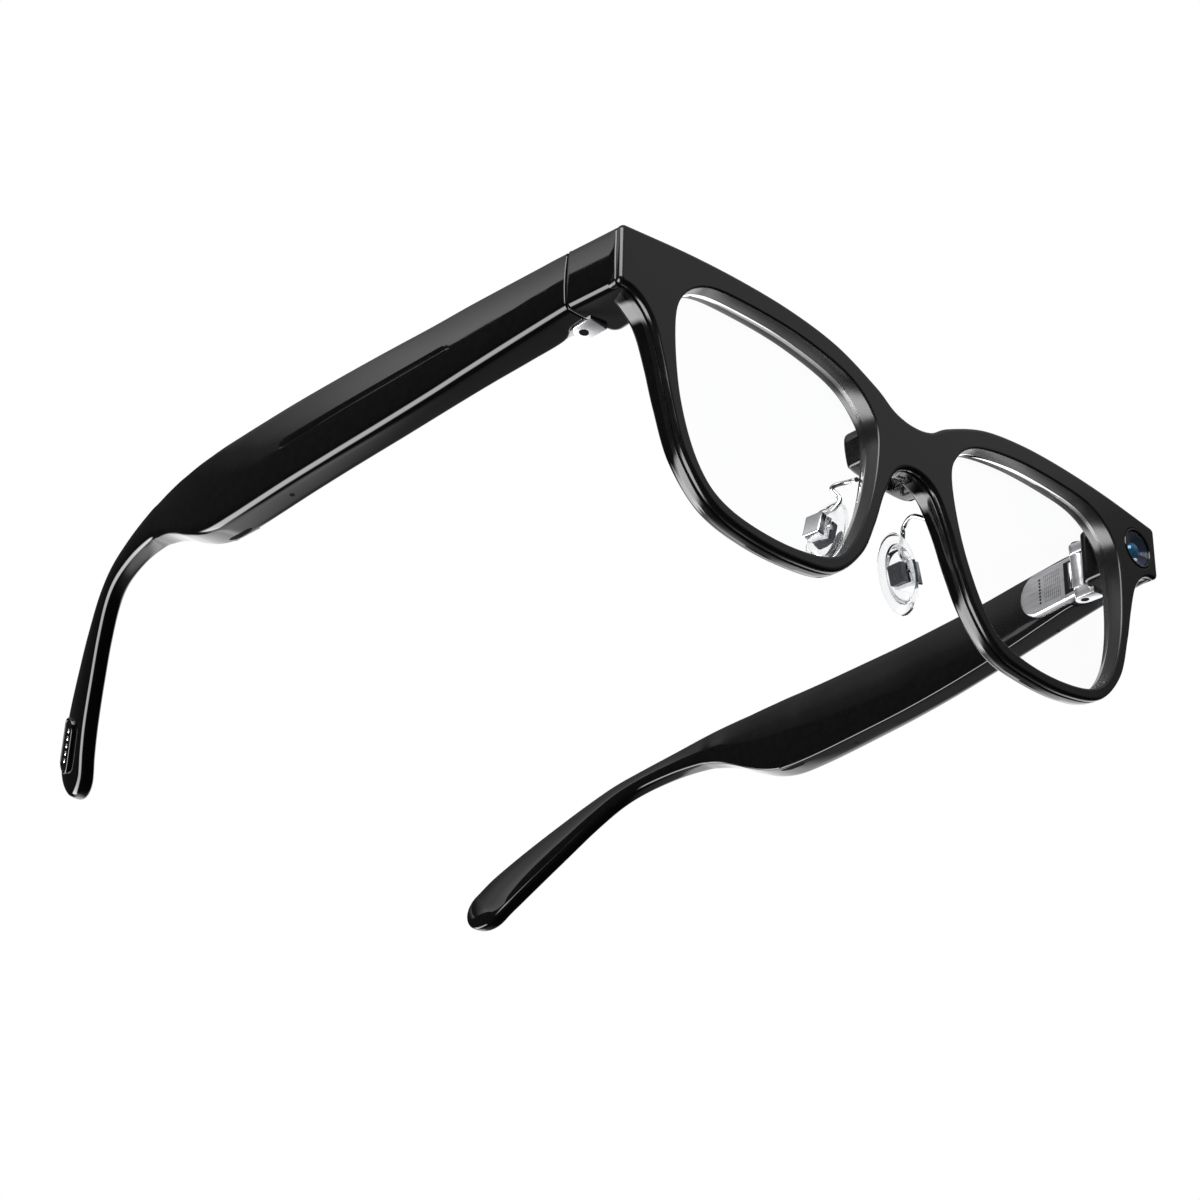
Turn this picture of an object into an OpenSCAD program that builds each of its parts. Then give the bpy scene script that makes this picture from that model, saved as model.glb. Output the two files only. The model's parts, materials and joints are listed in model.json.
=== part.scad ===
/* [Front] */
// Width across the two top corners
front_w = 146; // [140:1:150]
// Thickness of the front cover
cover_t = 2.3; // [2:0.1:2.6]
// Depth of the frame at the brow
frame_depth = 6; // [5.6:0.1:6.4]
// Slope of the back of the rims, thinner towards the bottom, in degrees
back_slope = 2.2; // [2:0.1:2.4]
// Shadow gap between cover and rear frame
seam_gap = 0.15; // [0.1:0.05:0.2]
// Lens thickness
lens_t = 1.8; // [1.6:0.1:2]

/* [Stand] */
// Lean that puts both rims and both arm tips on the table, in degrees
stand_lean = 1.32; // [1.1:0.01:1.4]
// Height of the brow corners above the table
corner_height = 47.79; // [47:0.01:49]
// Distance from the front face to the middle of the depth
mid_depth = 93.36; // [92:0.01:95]

/* [Hinges] */
// Sideways place of the hinge pin
hinge_x = 67.2; // [67:0.1:67.4]
// Depth of the hinge pin behind the front face
hinge_y = 14.4; // [14.3:0.1:14.6]
// Height of the middle of the hinge, from the brow corners
hinge_z = -6.6; // [-7:0.1:-6.2]
// Inward lean of the pins, which drops a folded arm under the other one
hinge_lean = 6; // [5.8:0.1:6.2]
// Radius of the hinge pin
pin_r = 0.8; // [0.7:0.05:0.85]
// Running clearance round the pin
pin_gap = 0.03; // [0.02:0.01:0.05]

/* [Camera] */
// Sideways place of the camera
camera_x = 66.9; // [66.8:0.1:67]
// Height of the camera, from the brow corners
camera_z = -6.6; // [-6.7:0.1:-6.5]
// Outer radius of the camera ring
camera_r = 4.3; // [4.2:0.05:4.4]

/* [Arms] */
// Wall thickness of the arm housings
wall = 1.1; // [1:0.05:1.2]
// Thickness of the inner cover of each arm
inner_t = 1; // [0.9:0.05:1.1]
// Gap between the corner and the arm when open
split_gap = 0.15; // [0.1:0.05:0.2]
// Travel of the capture button
button_travel = 0.4; // [0.3:0.05:0.5]

/* [Nose pads] */
// Length of a pad
pad_len = 14.8; // [14:0.1:15.2]
// Width of a pad
pad_w = 8.4; // [8:0.1:8.8]
// Radius of the pad arm wire
wire_r = 0.45; // [0.4:0.05:0.5]

/* [Hidden] */
$fn = 48;
eps = 0.01;
shell_black = "#141414";
rear_y = cover_t + seam_gap;
corner_y = 12.2;
arm_y = corner_y + split_gap;
box_end = 112;
half_w = front_w / 2;

// Brow line from the bridge out to the corner, as [across, up]
brow = [[0, -7.5], [5, -6.6], [10, -3.6], [20, 0.4], [31, 2.15], [43, 2.5], [57, 1.8], [half_w, 0]];
// Lower edge from the corner block round the rim to the bridge
lower_rim = [
  [half_w, -11.5], [70.2, -11.7], [67.6, -13.2], [65.2, -16.4], [63.2, -22.2], [61.3, -29],
  [57.9, -38], [51, -44.9], [41, -47.4], [30, -47.4], [21.5, -45.6], [15, -39.6],
  [11.4, -32.6], [8.5, -25], [5, -19], [0, -17.1]
];
// Lens opening in the front cover
opening = [
  [60.2, -14.1], [58.3, -7.3], [52.5, -3.1], [43, -1.95], [30, -2.2], [18, -4.6], [12, -9],
  [10.1, -15], [12.3, -27], [17.3, -38], [23, -43.3], [34.7, -45.3], [47.6, -43.8],
  [54.5, -38.6], [58.9, -27.7]
];
// Outer side of the arm box seen from above, as [across, back]
arm_out = [[74.45, arm_y], [75.4, 20], [77.6, 44], [79.7, 68], [80.8, 90], [81, 104], [80.8, box_end]];
// Inner side of the arm box seen from above
arm_in = [[69.5, arm_y], [69.5, 15.5], [67.8, 18.5], [68.1, 20.5], [71.1, 44], [73, 68],
  [73.7, 90], [73.8, 104], [73.8, box_end]];
// Upper and lower edges of the arm box seen from the side, as [back, up]
arm_top = [[arm_y, -0.35], [44, -1.35], [80, -2.3], [104, -2.95], [box_end, -3.3]];
arm_bottom = [[arm_y, -11.9], [20, -13.5], [44, -16.2], [68, -18.3], [92, -20], [100, -20.5],
  [104.5, -20.3], [108.5, -19.2], [box_end, -17.7]];
// Arm tip: [back, up, half height, outer side across, thickness]
tip_rows = [
  [box_end, -10.5, 7.2, 80.8, 7], [118, -9, 5.6, 80.2, 6.4], [124, -8, 4.3, 79.4, 5.8],
  [130, -8, 3.5, 78.7, 5.3], [138, -8.8, 2.8, 77.4, 4.8], [147, -10.5, 2.5, 75.5, 4.5],
  [154, -13.3, 2.8, 73.3, 4.5], [161, -17.9, 3.5, 70.5, 4.6], [168, -23.5, 4.35, 67.4, 4.8],
  [175, -29.5, 5.1, 64.1, 5], [180, -34.3, 5.75, 61.4, 5], [183, -37.8, 5.8, 59.6, 5]
];

function blend(a, b, c, d, t) =
  0.5 * (2 * b + (c - a) * t + (2 * a - 5 * b + 4 * c - d) * t * t + (3 * b - a - 3 * c + d) * t * t * t);
function smooth_line(p, n = 5) = let (m = len(p) - 1) concat(
  [for (i = [0:m - 1]) for (k = [0:n - 1])
    blend(p[max(i - 1, 0)], p[i], p[i + 1], p[min(i + 2, m)], k / n)],
  [p[m]]);
function smooth_loop(p, n = 5) = let (m = len(p))
  [for (i = [0:m - 1]) for (k = [0:n - 1])
    blend(p[(i + m - 1) % m], p[i], p[(i + 1) % m], p[(i + 2) % m], k / n)];
function turned(p) = [for (i = [len(p) - 1:-1:0]) p[i]];
function flipped(p) = [for (i = [len(p) - 1:-1:0]) [-p[i][0], p[i][1]]];
function tail(p) = [for (i = [1:len(p) - 1]) p[i]];
function shifted(p, dx, dy) = [for (q = p) [q[0] + dx, q[1] + dy]];
function grown(p, c, k) = [for (q = p) c + (q - c) * k];

opening_mid = [34.9, -22.5];

// Puts a piece drawn from the brow corners into the standing position
module stand() {
  translate([0, -mid_depth, corner_height]) rotate([-stand_lean, 0, 0]) children();
}
// Mirrors a piece drawn for the left arm to the right when side is -1
module sided(side) {
  if (side > 0) children(); else mirror([1, 0, 0]) children();
}
// Turns an outline drawn as [across, up] into a plate between two depths
module plate(y0, y1) {
  translate([0, y1, 0]) rotate([90, 0, 0]) linear_extrude(y1 - y0) children();
}
// Turns an outline drawn as [back, up] into a slab between two places across
module slab(x0, x1) {
  translate([x0, 0, 0]) rotate([90, 0, 90]) linear_extrude(x1 - x0) children();
}
module front_outline() {
  top = smooth_line(concat(flipped(brow), tail(brow)));
  low = smooth_line(concat(lower_rim, tail(flipped(lower_rim))));
  polygon(concat(top, low));
}
module lens_outline(k = 1) {
  polygon(smooth_loop(grown(opening, opening_mid, k), 6));
}
module hinge_axis() {
  translate([hinge_x, hinge_y, hinge_z]) rotate([0, -hinge_lean, 0]) children();
}
module corner_plan() {
  polygon([[61, 4], [half_w, 0.6], [half_w + 0.12, rear_y], [74.43, corner_y], [70.3, corner_y],
    [70.3, 9.4], [63.6, 9.4], [61.5, 7.6]]);
}

// The front cover with its two lens openings and the hole for the camera
module front_cover() {
  color(shell_black) stand() difference() {
    plate(0, cover_t) front_outline();
    for (s = [-1, 1]) scale([s, 1, 1]) translate([0, -1, 0]) plate(0, 5) lens_outline();
    translate([camera_x, -1, camera_z]) rotate([-90, 0, 0]) cylinder(r = camera_r, h = 5);
  }
}
// The rear frame: rims, lens grooves, nose blocks and the two corner blocks
module rear_frame() {
  color(shell_black) stand() difference() {
    union() {
      intersection() {
        plate(rear_y, frame_depth) front_outline();
        translate([-100, frame_depth, 0]) rotate([-back_slope, 0, 0]) translate([0, -20, -60]) cube([200, 20, 90]);
      }
      for (s = [-1, 1]) sided(s) {
        intersection() {
          translate([0, 0, -12.1]) linear_extrude(13) corner_plan();
          plate(rear_y, corner_y) polygon([[60, -12.1], [75, -12.1], [75, -0.25], [60, 1.5]]);
        }
        plate(rear_y, 9.6) polygon([[0, -9.2], [9.6, -9.2], [9.6, -16.6], [4, -17.4], [0, -16.9]]);
      }
    }
    for (s = [-1, 1]) sided(s) {
      plate(-1, 4.4) lens_outline(1.03);
      plate(-1, 14) lens_outline();
      translate([63.9, 9.4, -10.9]) cube([6.1, 4, 9.6]);
    }
    translate([camera_x, -1, camera_z]) rotate([-90, 0, 0]) cylinder(r = camera_r - 0.2, h = 9.4);
    plate(-1, rear_y + 0.5) flex_outline(0.15);
  }
}
module lens(side) {
  color("#c8d0d4", 0.35) stand() sided(side) plate(2.55, 2.55 + lens_t) lens_outline(1.027);
}
module camera_axis(y) {
  translate([camera_x, y, camera_z]) rotate([-90, 0, 0]) children();
}
module camera_bezel() {
  color("#0c0c10") stand() camera_axis(-0.3) difference() {
    cylinder(r = camera_r - 0.03, h = 2.5);
    translate([0, 0, 0.25]) cylinder(r = camera_r - 0.45, h = 3);
    translate([0, 0, -1]) cylinder(r = camera_r - 0.7, h = 3);
  }
}
module camera_window() {
  color("#101826", 0.5) stand() camera_axis(-0.03) cylinder(r = camera_r - 0.47, h = 0.7);
}
module camera_barrel() {
  color("#18181c") stand() camera_axis(0.75) difference() {
    union() {
      cylinder(r = 3.7, h = 1.2);
      cylinder(r = 2.9, h = 4.6);
    }
    translate([0, 0, -1]) cylinder(r = 1.62, h = 8);
    translate([0, 0, -eps]) cylinder(r1 = 2.6, r2 = 1.62, h = 1.4);
    translate([0, 2.35, -1]) cylinder(r = 0.45, h = 3);
  }
}
module camera_lens() {
  color("#20405a", 0.6) stand() camera_axis(2.3) cylinder(r = 1.6, h = 1.5);
}
module camera_sensor() {
  color("#1f5a34") stand() translate([camera_x, 5.4, camera_z]) {
    translate([-2.7, 0, -2.7]) cube([5.4, 0.6, 5.4]);
    translate([-1.1, -0.55, -1.1]) cube([2.2, 0.56, 2.2]);
  }
}
module privacy_led() {
  color("#f4f4ee") stand() translate([camera_x, 0.76, camera_z - 2.35]) rotate([-90, 0, 0]) cylinder(r = 0.43, h = 1);
}
module flex_outline(gap = 0) {
  line = smooth_line(concat(flipped(brow), tail(brow)));
  used = [for (q = line) if (abs(q[0]) < 63.5) q];
  polygon(concat(shifted(used, 0, -0.9 + gap), turned(shifted(used, 0, -2.3 - gap))));
}
// Flexible circuit that runs along the brow from corner to corner
module frame_flex() {
  color("#b8842c") stand() intersection() {
    plate(rear_y + 0.1, rear_y + 0.4) flex_outline();
    translate([-62, 0, -20]) cube([124, 10, 40]);
  }
}
// Front half of a hinge: a foot in the corner block and two knuckles round the pin
module hinge_bracket(side) {
  color("#b9bcc0") stand() sided(side) difference() {
    union() {
      translate([64.1, 9.5, -10.7]) cube([5.7, 1.2, 9.2]);
      for (z = [-5.85, 3.75]) hinge_axis() translate([0, 0, z]) {
        cylinder(r = 1.9, h = 2.1);
        translate([-1.6, -4.2, 0]) cube([3.1, 4.2, 2.1]);
      }
    }
    hinge_axis() translate([0, 0, -9]) cylinder(r = pin_r, h = 18);
    for (z = [-8.3, -4.9]) translate([66.9, 8, z]) rotate([-90, 0, 0]) cylinder(r = 0.62, h = 4);
  }
}
module hinge_pin(side) {
  color("#d8dadc") stand() sided(side) hinge_axis() translate([0, 0, -5.95]) {
    cylinder(r = pin_r, h = 11.9);
    translate([0, 0, 11.85]) cylinder(r = 1.3, h = 0.5);
  }
}
module bracket_screws() {
  color("#d8dadc") stand() for (s = [-1, 1]) sided(s) for (z = [-8.3, -4.9])
    translate([66.9, 9.5, z]) rotate([-90, 0, 0]) {
      cylinder(r = 0.6, h = 1.25);
      translate([0, 0, 1.2]) cylinder(r = 1.05, h = 0.45);
    }
}
// Route of a pad arm wire, from the rim to the pad box
wire_route = [[10.9, 5.1, -21.3], [8.7, 8.4, -19.4], [9.9, 11.8, -19.8], [8.7, 11.1, -22.2],
  [10.4, 12.6, -25.2], [12.6, 12.5, -26.6]];
pad_mid = [10.5, 13.4, -29];
pad_turn = [0, 0, -18];
module at_pad() {
  translate(pad_mid) rotate([0, -14, 0]) rotate(pad_turn) children();
}
function ring_round(p, d, r) = let (u = cross(d, [0.3, 0.2, 1]), a = u / norm(u), b = cross(d, a) / norm(d))
  [for (t = [0:45:315]) p + r * (a * cos(t) + b * sin(t))];
// Wire arm with its foot in the rim and its other end in the pad box
module pad_arm(side) {
  run = smooth_line(wire_route, 5);
  m = len(run) - 1;
  color("#c9ccd0") stand() sided(side) ring_skin(
    [for (i = [0:m]) ring_round(run[i], run[max(i - 1, 0)] - run[min(i + 1, m)], wire_r)]);
}
// Small open box on the wire that holds a pad
module pad_box(side) {
  color("#c9ccd0") stand() sided(side) at_pad() difference() {
    translate([0.6, -1.9, -2.3]) cube([2.9, 3.8, 4.6]);
    translate([0.2, -1.1, -1.7]) cube([2.2, 2.2, 3.4]);
    translate([1.4, -3, 0]) rotate([-90, 0, 0]) cylinder(r = 0.5, h = 6);
  }
}
module pad_screw(side) {
  color("#d8dadc") stand() sided(side) at_pad() translate([1.4, -1.95, 0]) rotate([-90, 0, 0])
    cylinder(r = 0.5, h = 3.9);
}
// Soft pad, a thin oval cushion that faces the nose
module nose_pad(side) {
  color("#e8ecee", 0.5) stand() sided(side) at_pad() difference() {
    translate([-1.9, 0, 0]) rotate([0, 90, 0]) scale([pad_len / pad_w, 1, 1]) cylinder(r1 = pad_w / 2 - 0.7, r2 = pad_w / 2, h = 1.3);
    translate([-0.95, -1.3, -2]) cube([2, 2.6, 4]);
  }
}
module pad_core(side) {
  color("#3a3d42") stand() sided(side) at_pad() difference() {
    union() {
      translate([-0.9, -1.25, -1.95]) cube([1.1, 2.5, 3.9]);
      translate([0.19, -0.9, -1.3]) cube([2, 1.8, 2.6]);
    }
    translate([1.4, -3, 0]) rotate([-90, 0, 0]) cylinder(r = 0.54, h = 6);
  }
}

// Solid shape of the arm box, shrunk by the given amounts
module arm_box(out = 0, inner = 0, up = 0, fore = 0) {
  o = smooth_line(shifted(arm_out, -out, 0), 4);
  i = shifted(arm_in, inner, 0);
  t = smooth_line(shifted(arm_top, 0, -up), 3);
  b = smooth_line(shifted(arm_bottom, 0, up), 3);
  intersection() {
    translate([0, 0, -30]) linear_extrude(40) polygon(concat(o, turned(i)));
    slab(60, 90) polygon(concat(t, turned(b)));
    translate([50, arm_y + fore, -30]) cube([50, box_end - arm_y - 2 * fore, 40]);
  }
}
module inner_band(gap) {
  intersection() {
    arm_box(0, 0, wall + gap, wall + 4.2 + gap);
    difference() {
      arm_box();
      arm_box(-5, inner_t, -5, -1);
    }
  }
}
module leaf_outline(gap = 0) {
  translate([17.4 - gap, -2.5 - 9.4 - gap]) square([9.2 + gap, 9.4 + 2 * gap]);
  translate([26.5, -7.2]) circle(r = 4.7 + gap);
}
module leaf_turn() {
  translate([67.5, 17.5, 0]) rotate([0, 0, -7.6]) translate([-67.5, -17.5, 0]) children();
}
module arm_shell(side) {
  color(shell_black) stand() sided(side) difference() {
    arm_box();
    arm_box(wall, -5, wall, wall + 4.2);
    leaf_turn() slab(60, 69.3) leaf_outline(0.05);
    translate([62, arm_y - 1, -30]) cube([8, 6.2, 40]);
    translate([76.6, 83.4, -24]) cylinder(r = 0.5, h = 10);
    if (side > 0) translate([73.4, 25.4, -24]) cylinder(r = 0.5, h = 12);
    else {
      translate([0, button_y, 0]) button_block(0.08, -6, 6);
      groove();
    }
    speaker_slot();
  }
}
module arm_cover(side) {
  color("#161616") stand() sided(side) difference() {
    inner_band(0.05);
    leaf_turn() slab(60, 72) leaf_outline(0.05);
  }
}
// Long touch groove on the outer face
module groove() {
  difference() {
    slab(70, 90) polygon([[40, -8.1], [82, -11.05], [82, -11.5], [40, -8.55]]);
    arm_box(0.25, -20, -20, -20);
  }
}
module speaker_slot() {
  translate([73, 97, -21.6]) rotate([0, 0, -2]) cube([4, 7.5, 3]);
}
function tip_row(u) = let (m = len(tip_rows) - 1, i = min(floor(u), m - 1))
  blend(tip_rows[max(i - 1, 0)], tip_rows[i], tip_rows[i + 1], tip_rows[min(i + 2, m)], u - i);
tip_last = len(tip_rows) - 1;
function tip_dir(u) = let (a = tip_row(max(u - 0.2, 0)), b = tip_row(min(u + 0.2, tip_last)))
  atan2(b[1] - a[1], b[0] - a[0]) * min(1, u / 1.5);
function squared(v) = sign(v) * pow(abs(v), 0.55);
// One ring of the tip: place along it, distance past that place, height and thickness factors
function tip_ring(u, ahead, kh, kt) = let (r = tip_row(u), d = tip_dir(u))
  [for (a = [9:18:360]) let (n = squared(sin(a)) * r[2] * kh)
    [r[3] - r[4] / 2 + squared(cos(a)) * r[4] / 2 * kt - ahead * 0.4,
     r[0] + ahead * cos(d) - n * sin(d), r[1] + ahead * sin(d) + n * cos(d)]];
// Closed skin over a row of rings
module ring_skin(rings) {
  n = len(rings[0]);
  m = len(rings);
  sides = [for (j = [0:m - 2]) for (i = [0:n - 1])
    each let (a = j * n + i, b = j * n + (i + 1) % n) [[a, b, b + n], [a, b + n, a + n]]];
  ends = [[for (i = [n - 1:-1:0]) i], [for (i = [0:n - 1]) (m - 1) * n + i]];
  polyhedron(points = [for (r = rings) each r], faces = concat(sides, ends));
}
// Arm tip: a smooth hook that thins behind the box and widens to a round end
module arm_tip(side) {
  run = 33;
  color(shell_black) stand() sided(side) ring_skin(concat(
    [for (i = [0:run]) tip_ring(i / run * tip_last, 0, 1, 1)],
    [for (a = [16:16:80]) tip_ring(tip_last, 5.8 * sin(a), cos(a), pow(cos(a), 0.5))]));
}
// Flat metal core moulded into the arm tip
module tip_core(side) {
  color("#a8abaf") stand() sided(side) ring_skin(
    [for (u = [0.2:0.3:8.6]) let (r = tip_row(u)) tip_ring(u, 0, 0.8 / r[2], 1.2 / r[4])]);
}
module hinge_leaf(side) {
  color("#c4c7cb") stand() sided(side) difference() {
    union() {
      leaf_turn() slab(66.7, 69.2) leaf_outline();
      hinge_axis() translate([0, 0, -3.68]) cylinder(r = 1.9, h = 7.36);
      hinge_axis() translate([-0.9, 0, -3.68]) cube([2.6, 3.6, 7.36]);
    }
    hinge_axis() translate([0, 0, -12]) cylinder(r = pin_r + pin_gap, h = 24);
  }
}
// Places a straight block inside the arm, its middle at the given depth
module in_arm(y, z) {
  x = lookup(y, [[20, 72.2], [44, 74.9], [68, 76.9], [90, 77.8], [104, 77.9]]);
  turn = lookup(y, [[20, -6.5], [44, -5.2], [68, -3.8], [90, -1.5], [104, 0]]);
  fall = lookup(y, [[20, -3.5], [68, -3], [104, -2.4]]);
  translate([x, y, z]) rotate([fall, 0, turn]) children();
}
module battery(side) {
  color("#5d6a78") stand() sided(side) in_arm(76, -11.2) translate([-2.3, -15.5, -5.2]) cube([3.2, 31, 10.4]);
}
module speaker(side) {
  color("#2a2a2c") stand() sided(side) in_arm(100.5, -14.6) translate([-2.6, -5.6, -3.4]) cube([4.1, 11.2, 6.2]);
}
module speaker_mesh(side) {
  color("#303034") stand() sided(side) translate([73.9, 97.1, -19.95]) rotate([0, 0, -2]) cube([3, 7.3, 0.35]);
}
module main_board() {
  color("#1f5a34") stand() in_arm(45, -9) translate([0.4, -13.5, -4.6]) cube([0.8, 27, 9.2]);
}
module board_shield() {
  color("#b4b8bc") stand() in_arm(45, -9) translate([-1.35, -10, -3.9]) cube([1.7, 18, 7.8]);
}
module side_board() {
  color("#1f5a34") stand() sided(-1) in_arm(48, -9.2) translate([-0.9, -10, -4.4]) cube([0.8, 20, 8.8]);
}
module wifi_antenna() {
  color("#c08a3c") stand() in_arm(45, -2.6) translate([-1, -10, -0.55]) cube([2.2, 18, 0.3]);
}
module mic(y, z, side) {
  color("#c9ccd0") stand() sided(side) translate([76.6 - (83.4 - y) * 0.0548, y, z]) cylinder(r = 1.2, h = 0.9);
}
module touch_sensor() {
  color("#b8842c") stand() sided(-1) intersection() {
    difference() {
      arm_box(wall + 0.03, -5, 1);
      arm_box(wall + 0.3, -6, 0, -1);
    }
    slab(75, 82) polygon([[40, -6.4], [82, -9.2], [82, -13.6], [40, -10.8]]);
  }
}
button_y = 31;
button_low = -2.1;
module button_block(gap, z0, z1) {
  translate([72.7, 0, z0]) linear_extrude(z1 - z0) union() {
    translate([-1.3 - gap, -3.2]) square([2.6 + 2 * gap, 6.4]);
    for (s = [-1, 1]) translate([0, 3.2 * s]) circle(r = 1.3 + gap);
  }
}
module capture_button() {
  color("#1c1c1c") stand() sided(-1) translate([0, button_y, 0]) button_block(0, button_low, -0.2);
}
module button_switch() {
  color("#c9ccd0") stand() sided(-1) translate([72.7, button_y, button_low - button_travel - 0.9]) {
    translate([-1.5, -2.2, 0]) cube([3, 4.4, 0.5]);
    translate([0, 0, 0.45]) cylinder(r = 1, h = 0.4);
  }
}
module at_pad_face() {
  translate([-61.2, 180.6, -34.2]) rotate([-44, 0, 0]) rotate([0, 0, -21.3]) rotate([0, -90, 0]) children();
}
module oval(l, w, h) {
  linear_extrude(h) union() {
    translate([-w / 2, -(l - w) / 2]) square([w, l - w]);
    for (s = [-1, 1]) translate([0, s * (l - w) / 2]) circle(r = w / 2);
  }
}
module charging_pad() {
  color("#0a0a0a") stand() at_pad_face() difference() {
    translate([0, 0, -1.6]) oval(12.8, 4.8, 2.4);
    for (i = [-2:2]) translate([0, i * 1.75, 0.2]) cylinder(r = 0.5, h = 2);
  }
}
module charging_contacts() {
  color("#d8d8d4") stand() at_pad_face() for (i = [-2:2]) translate([0, i * 1.75, 0.2]) cylinder(r = 0.5, h = 0.6);
}

front_cover();
rear_frame();
lens(1);  // left_lens
lens(-1);  // right_lens
camera_bezel();
camera_window();
camera_barrel();
camera_lens();
camera_sensor();
privacy_led();
frame_flex();
hinge_bracket(1);  // left_hinge_bracket
hinge_bracket(-1);  // right_hinge_bracket
hinge_pin(1);  // left_hinge_pin
hinge_pin(-1);  // right_hinge_pin
bracket_screws();
pad_arm(1);  // left_pad_arm
pad_arm(-1);  // right_pad_arm
pad_box(1);  // left_pad_box
pad_box(-1);  // right_pad_box
pad_screw(1);  // left_pad_screw
pad_screw(-1);  // right_pad_screw
nose_pad(1);  // left_nose_pad
nose_pad(-1);  // right_nose_pad
pad_core(1);  // left_pad_core
pad_core(-1);  // right_pad_core
arm_shell(1);  // left_arm_shell
arm_shell(-1);  // right_arm_shell
arm_cover(1);  // left_arm_cover
arm_cover(-1);  // right_arm_cover
arm_tip(1);  // left_arm_tip
arm_tip(-1);  // right_arm_tip
hinge_leaf(1);  // left_hinge_leaf
hinge_leaf(-1);  // right_hinge_leaf
tip_core(1);  // left_tip_core
tip_core(-1);  // right_tip_core
battery(1);  // left_battery
battery(-1);  // right_battery
speaker(1);  // left_speaker
speaker(-1);  // right_speaker
speaker_mesh(1);  // left_speaker_mesh
speaker_mesh(-1);  // right_speaker_mesh
main_board();
board_shield();
side_board();
wifi_antenna();
mic(83.4, -18.2, 1);  // left_arm_mic
mic(83.4, -18.2, -1);  // right_arm_mic
mic(25.4, -12.6, 1);  // voice_mic
touch_sensor();
capture_button();
button_switch();
charging_pad();
charging_contacts();
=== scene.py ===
import json
import bpy
import numpy as np
from mathutils import Matrix, Vector, geometry

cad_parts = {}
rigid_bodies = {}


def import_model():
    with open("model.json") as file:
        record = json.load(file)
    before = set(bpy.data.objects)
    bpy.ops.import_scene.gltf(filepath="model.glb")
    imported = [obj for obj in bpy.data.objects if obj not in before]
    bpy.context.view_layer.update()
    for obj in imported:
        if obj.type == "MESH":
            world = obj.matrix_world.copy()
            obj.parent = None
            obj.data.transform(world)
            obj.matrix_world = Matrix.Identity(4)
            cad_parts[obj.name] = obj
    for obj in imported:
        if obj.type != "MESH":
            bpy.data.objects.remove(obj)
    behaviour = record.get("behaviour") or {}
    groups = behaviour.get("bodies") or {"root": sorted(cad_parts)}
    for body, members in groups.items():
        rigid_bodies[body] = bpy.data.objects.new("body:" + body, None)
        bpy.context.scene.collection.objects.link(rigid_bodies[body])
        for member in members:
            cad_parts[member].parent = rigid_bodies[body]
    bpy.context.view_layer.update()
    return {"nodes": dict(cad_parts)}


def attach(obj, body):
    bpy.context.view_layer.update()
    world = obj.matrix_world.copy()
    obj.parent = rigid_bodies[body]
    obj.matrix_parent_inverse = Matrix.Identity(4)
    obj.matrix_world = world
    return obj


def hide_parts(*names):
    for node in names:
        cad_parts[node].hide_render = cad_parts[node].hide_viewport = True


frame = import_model()
print("frame loaded:", len(frame["nodes"]), "nodes")

# Pieces are drawn in millimetres from the brow corners: across, back, up.
stand = dict(lean=1.32, height=47.79, depth=93.36)


def place(points):
    # Leans the drawing back about the x axis, then lifts it onto the table, in metres
    p = np.asarray(points, float)
    c, s = np.cos(np.radians(stand["lean"])), np.sin(np.radians(stand["lean"]))
    y = p[..., 1] * c + p[..., 2] * s - stand["depth"]
    z = -p[..., 1] * s + p[..., 2] * c + stand["height"]
    return np.stack([p[..., 0], y, z], -1) / 1000


def curveThrough(points, steps, closed=False):
    # Catmull-Rom line: every span blends its four nearest points with cubic weights
    p = np.asarray(points, float)
    if closed:
        a, b, c, d = np.roll(p, 1, 0), p, np.roll(p, -1, 0), np.roll(p, -2, 0)
    else:
        q = np.vstack([p[:1], p, p[-1:]])
        a, b, c, d = q[:-3], q[1:-2], q[2:-1], q[3:]
    t = (np.arange(steps) / steps)[None, :, None]
    a, b, c, d = a[:, None], b[:, None], c[:, None], d[:, None]
    line = 0.5 * (2 * b + (c - a) * t + (2 * a - 5 * b + 4 * c - d) * t**2 + (3 * b - a - 3 * c + d) * t**3)
    line = line.reshape(-1, p.shape[1])
    return line if closed else np.vstack([line, p[-1:]])


def roundCorner(before, corner, after, radius, steps=7):
    # Arc of the given radius that touches both straight sides of a corner
    a, b, c = (np.asarray(v, float) for v in (before, corner, after))
    u, v = (a - b) / np.linalg.norm(a - b), (c - b) / np.linalg.norm(c - b)
    half = np.arccos(np.clip(u @ v, -1, 1)) / 2
    middle = b + (u + v) / np.linalg.norm(u + v) * radius / np.sin(half)
    start, end = b + u * radius / np.tan(half), b + v * radius / np.tan(half)
    a0, a1 = (np.arctan2(*(q - middle)[::-1]) for q in (start, end))
    turn = (a1 - a0 + np.pi) % (2 * np.pi) - np.pi
    ang = a0 + turn * np.linspace(0, 1, steps)
    return middle + radius * np.stack([np.cos(ang), np.sin(ang)], -1)


def inward(loop):
    # Unit normal on the left of a closed counter-clockwise loop, from its neighbours on both sides
    t = np.roll(loop, -1, 0) - np.roll(loop, 1, 0)
    t /= np.linalg.norm(t, axis=1)[:, None]
    return np.stack([-t[:, 1], t[:, 0]], -1)


def gridQuads(rows, cols, start=0):
    # Quads between neighbouring rows and columns; the last column joins the first
    i, j = np.meshgrid(np.arange(rows - 1), np.arange(cols), indexing="ij")
    k = (j + 1) % cols
    quads = np.stack([i * cols + j, i * cols + k, (i + 1) * cols + k, (i + 1) * cols + j], -1)
    return (quads.reshape(-1, 4) + start).tolist()


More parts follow.
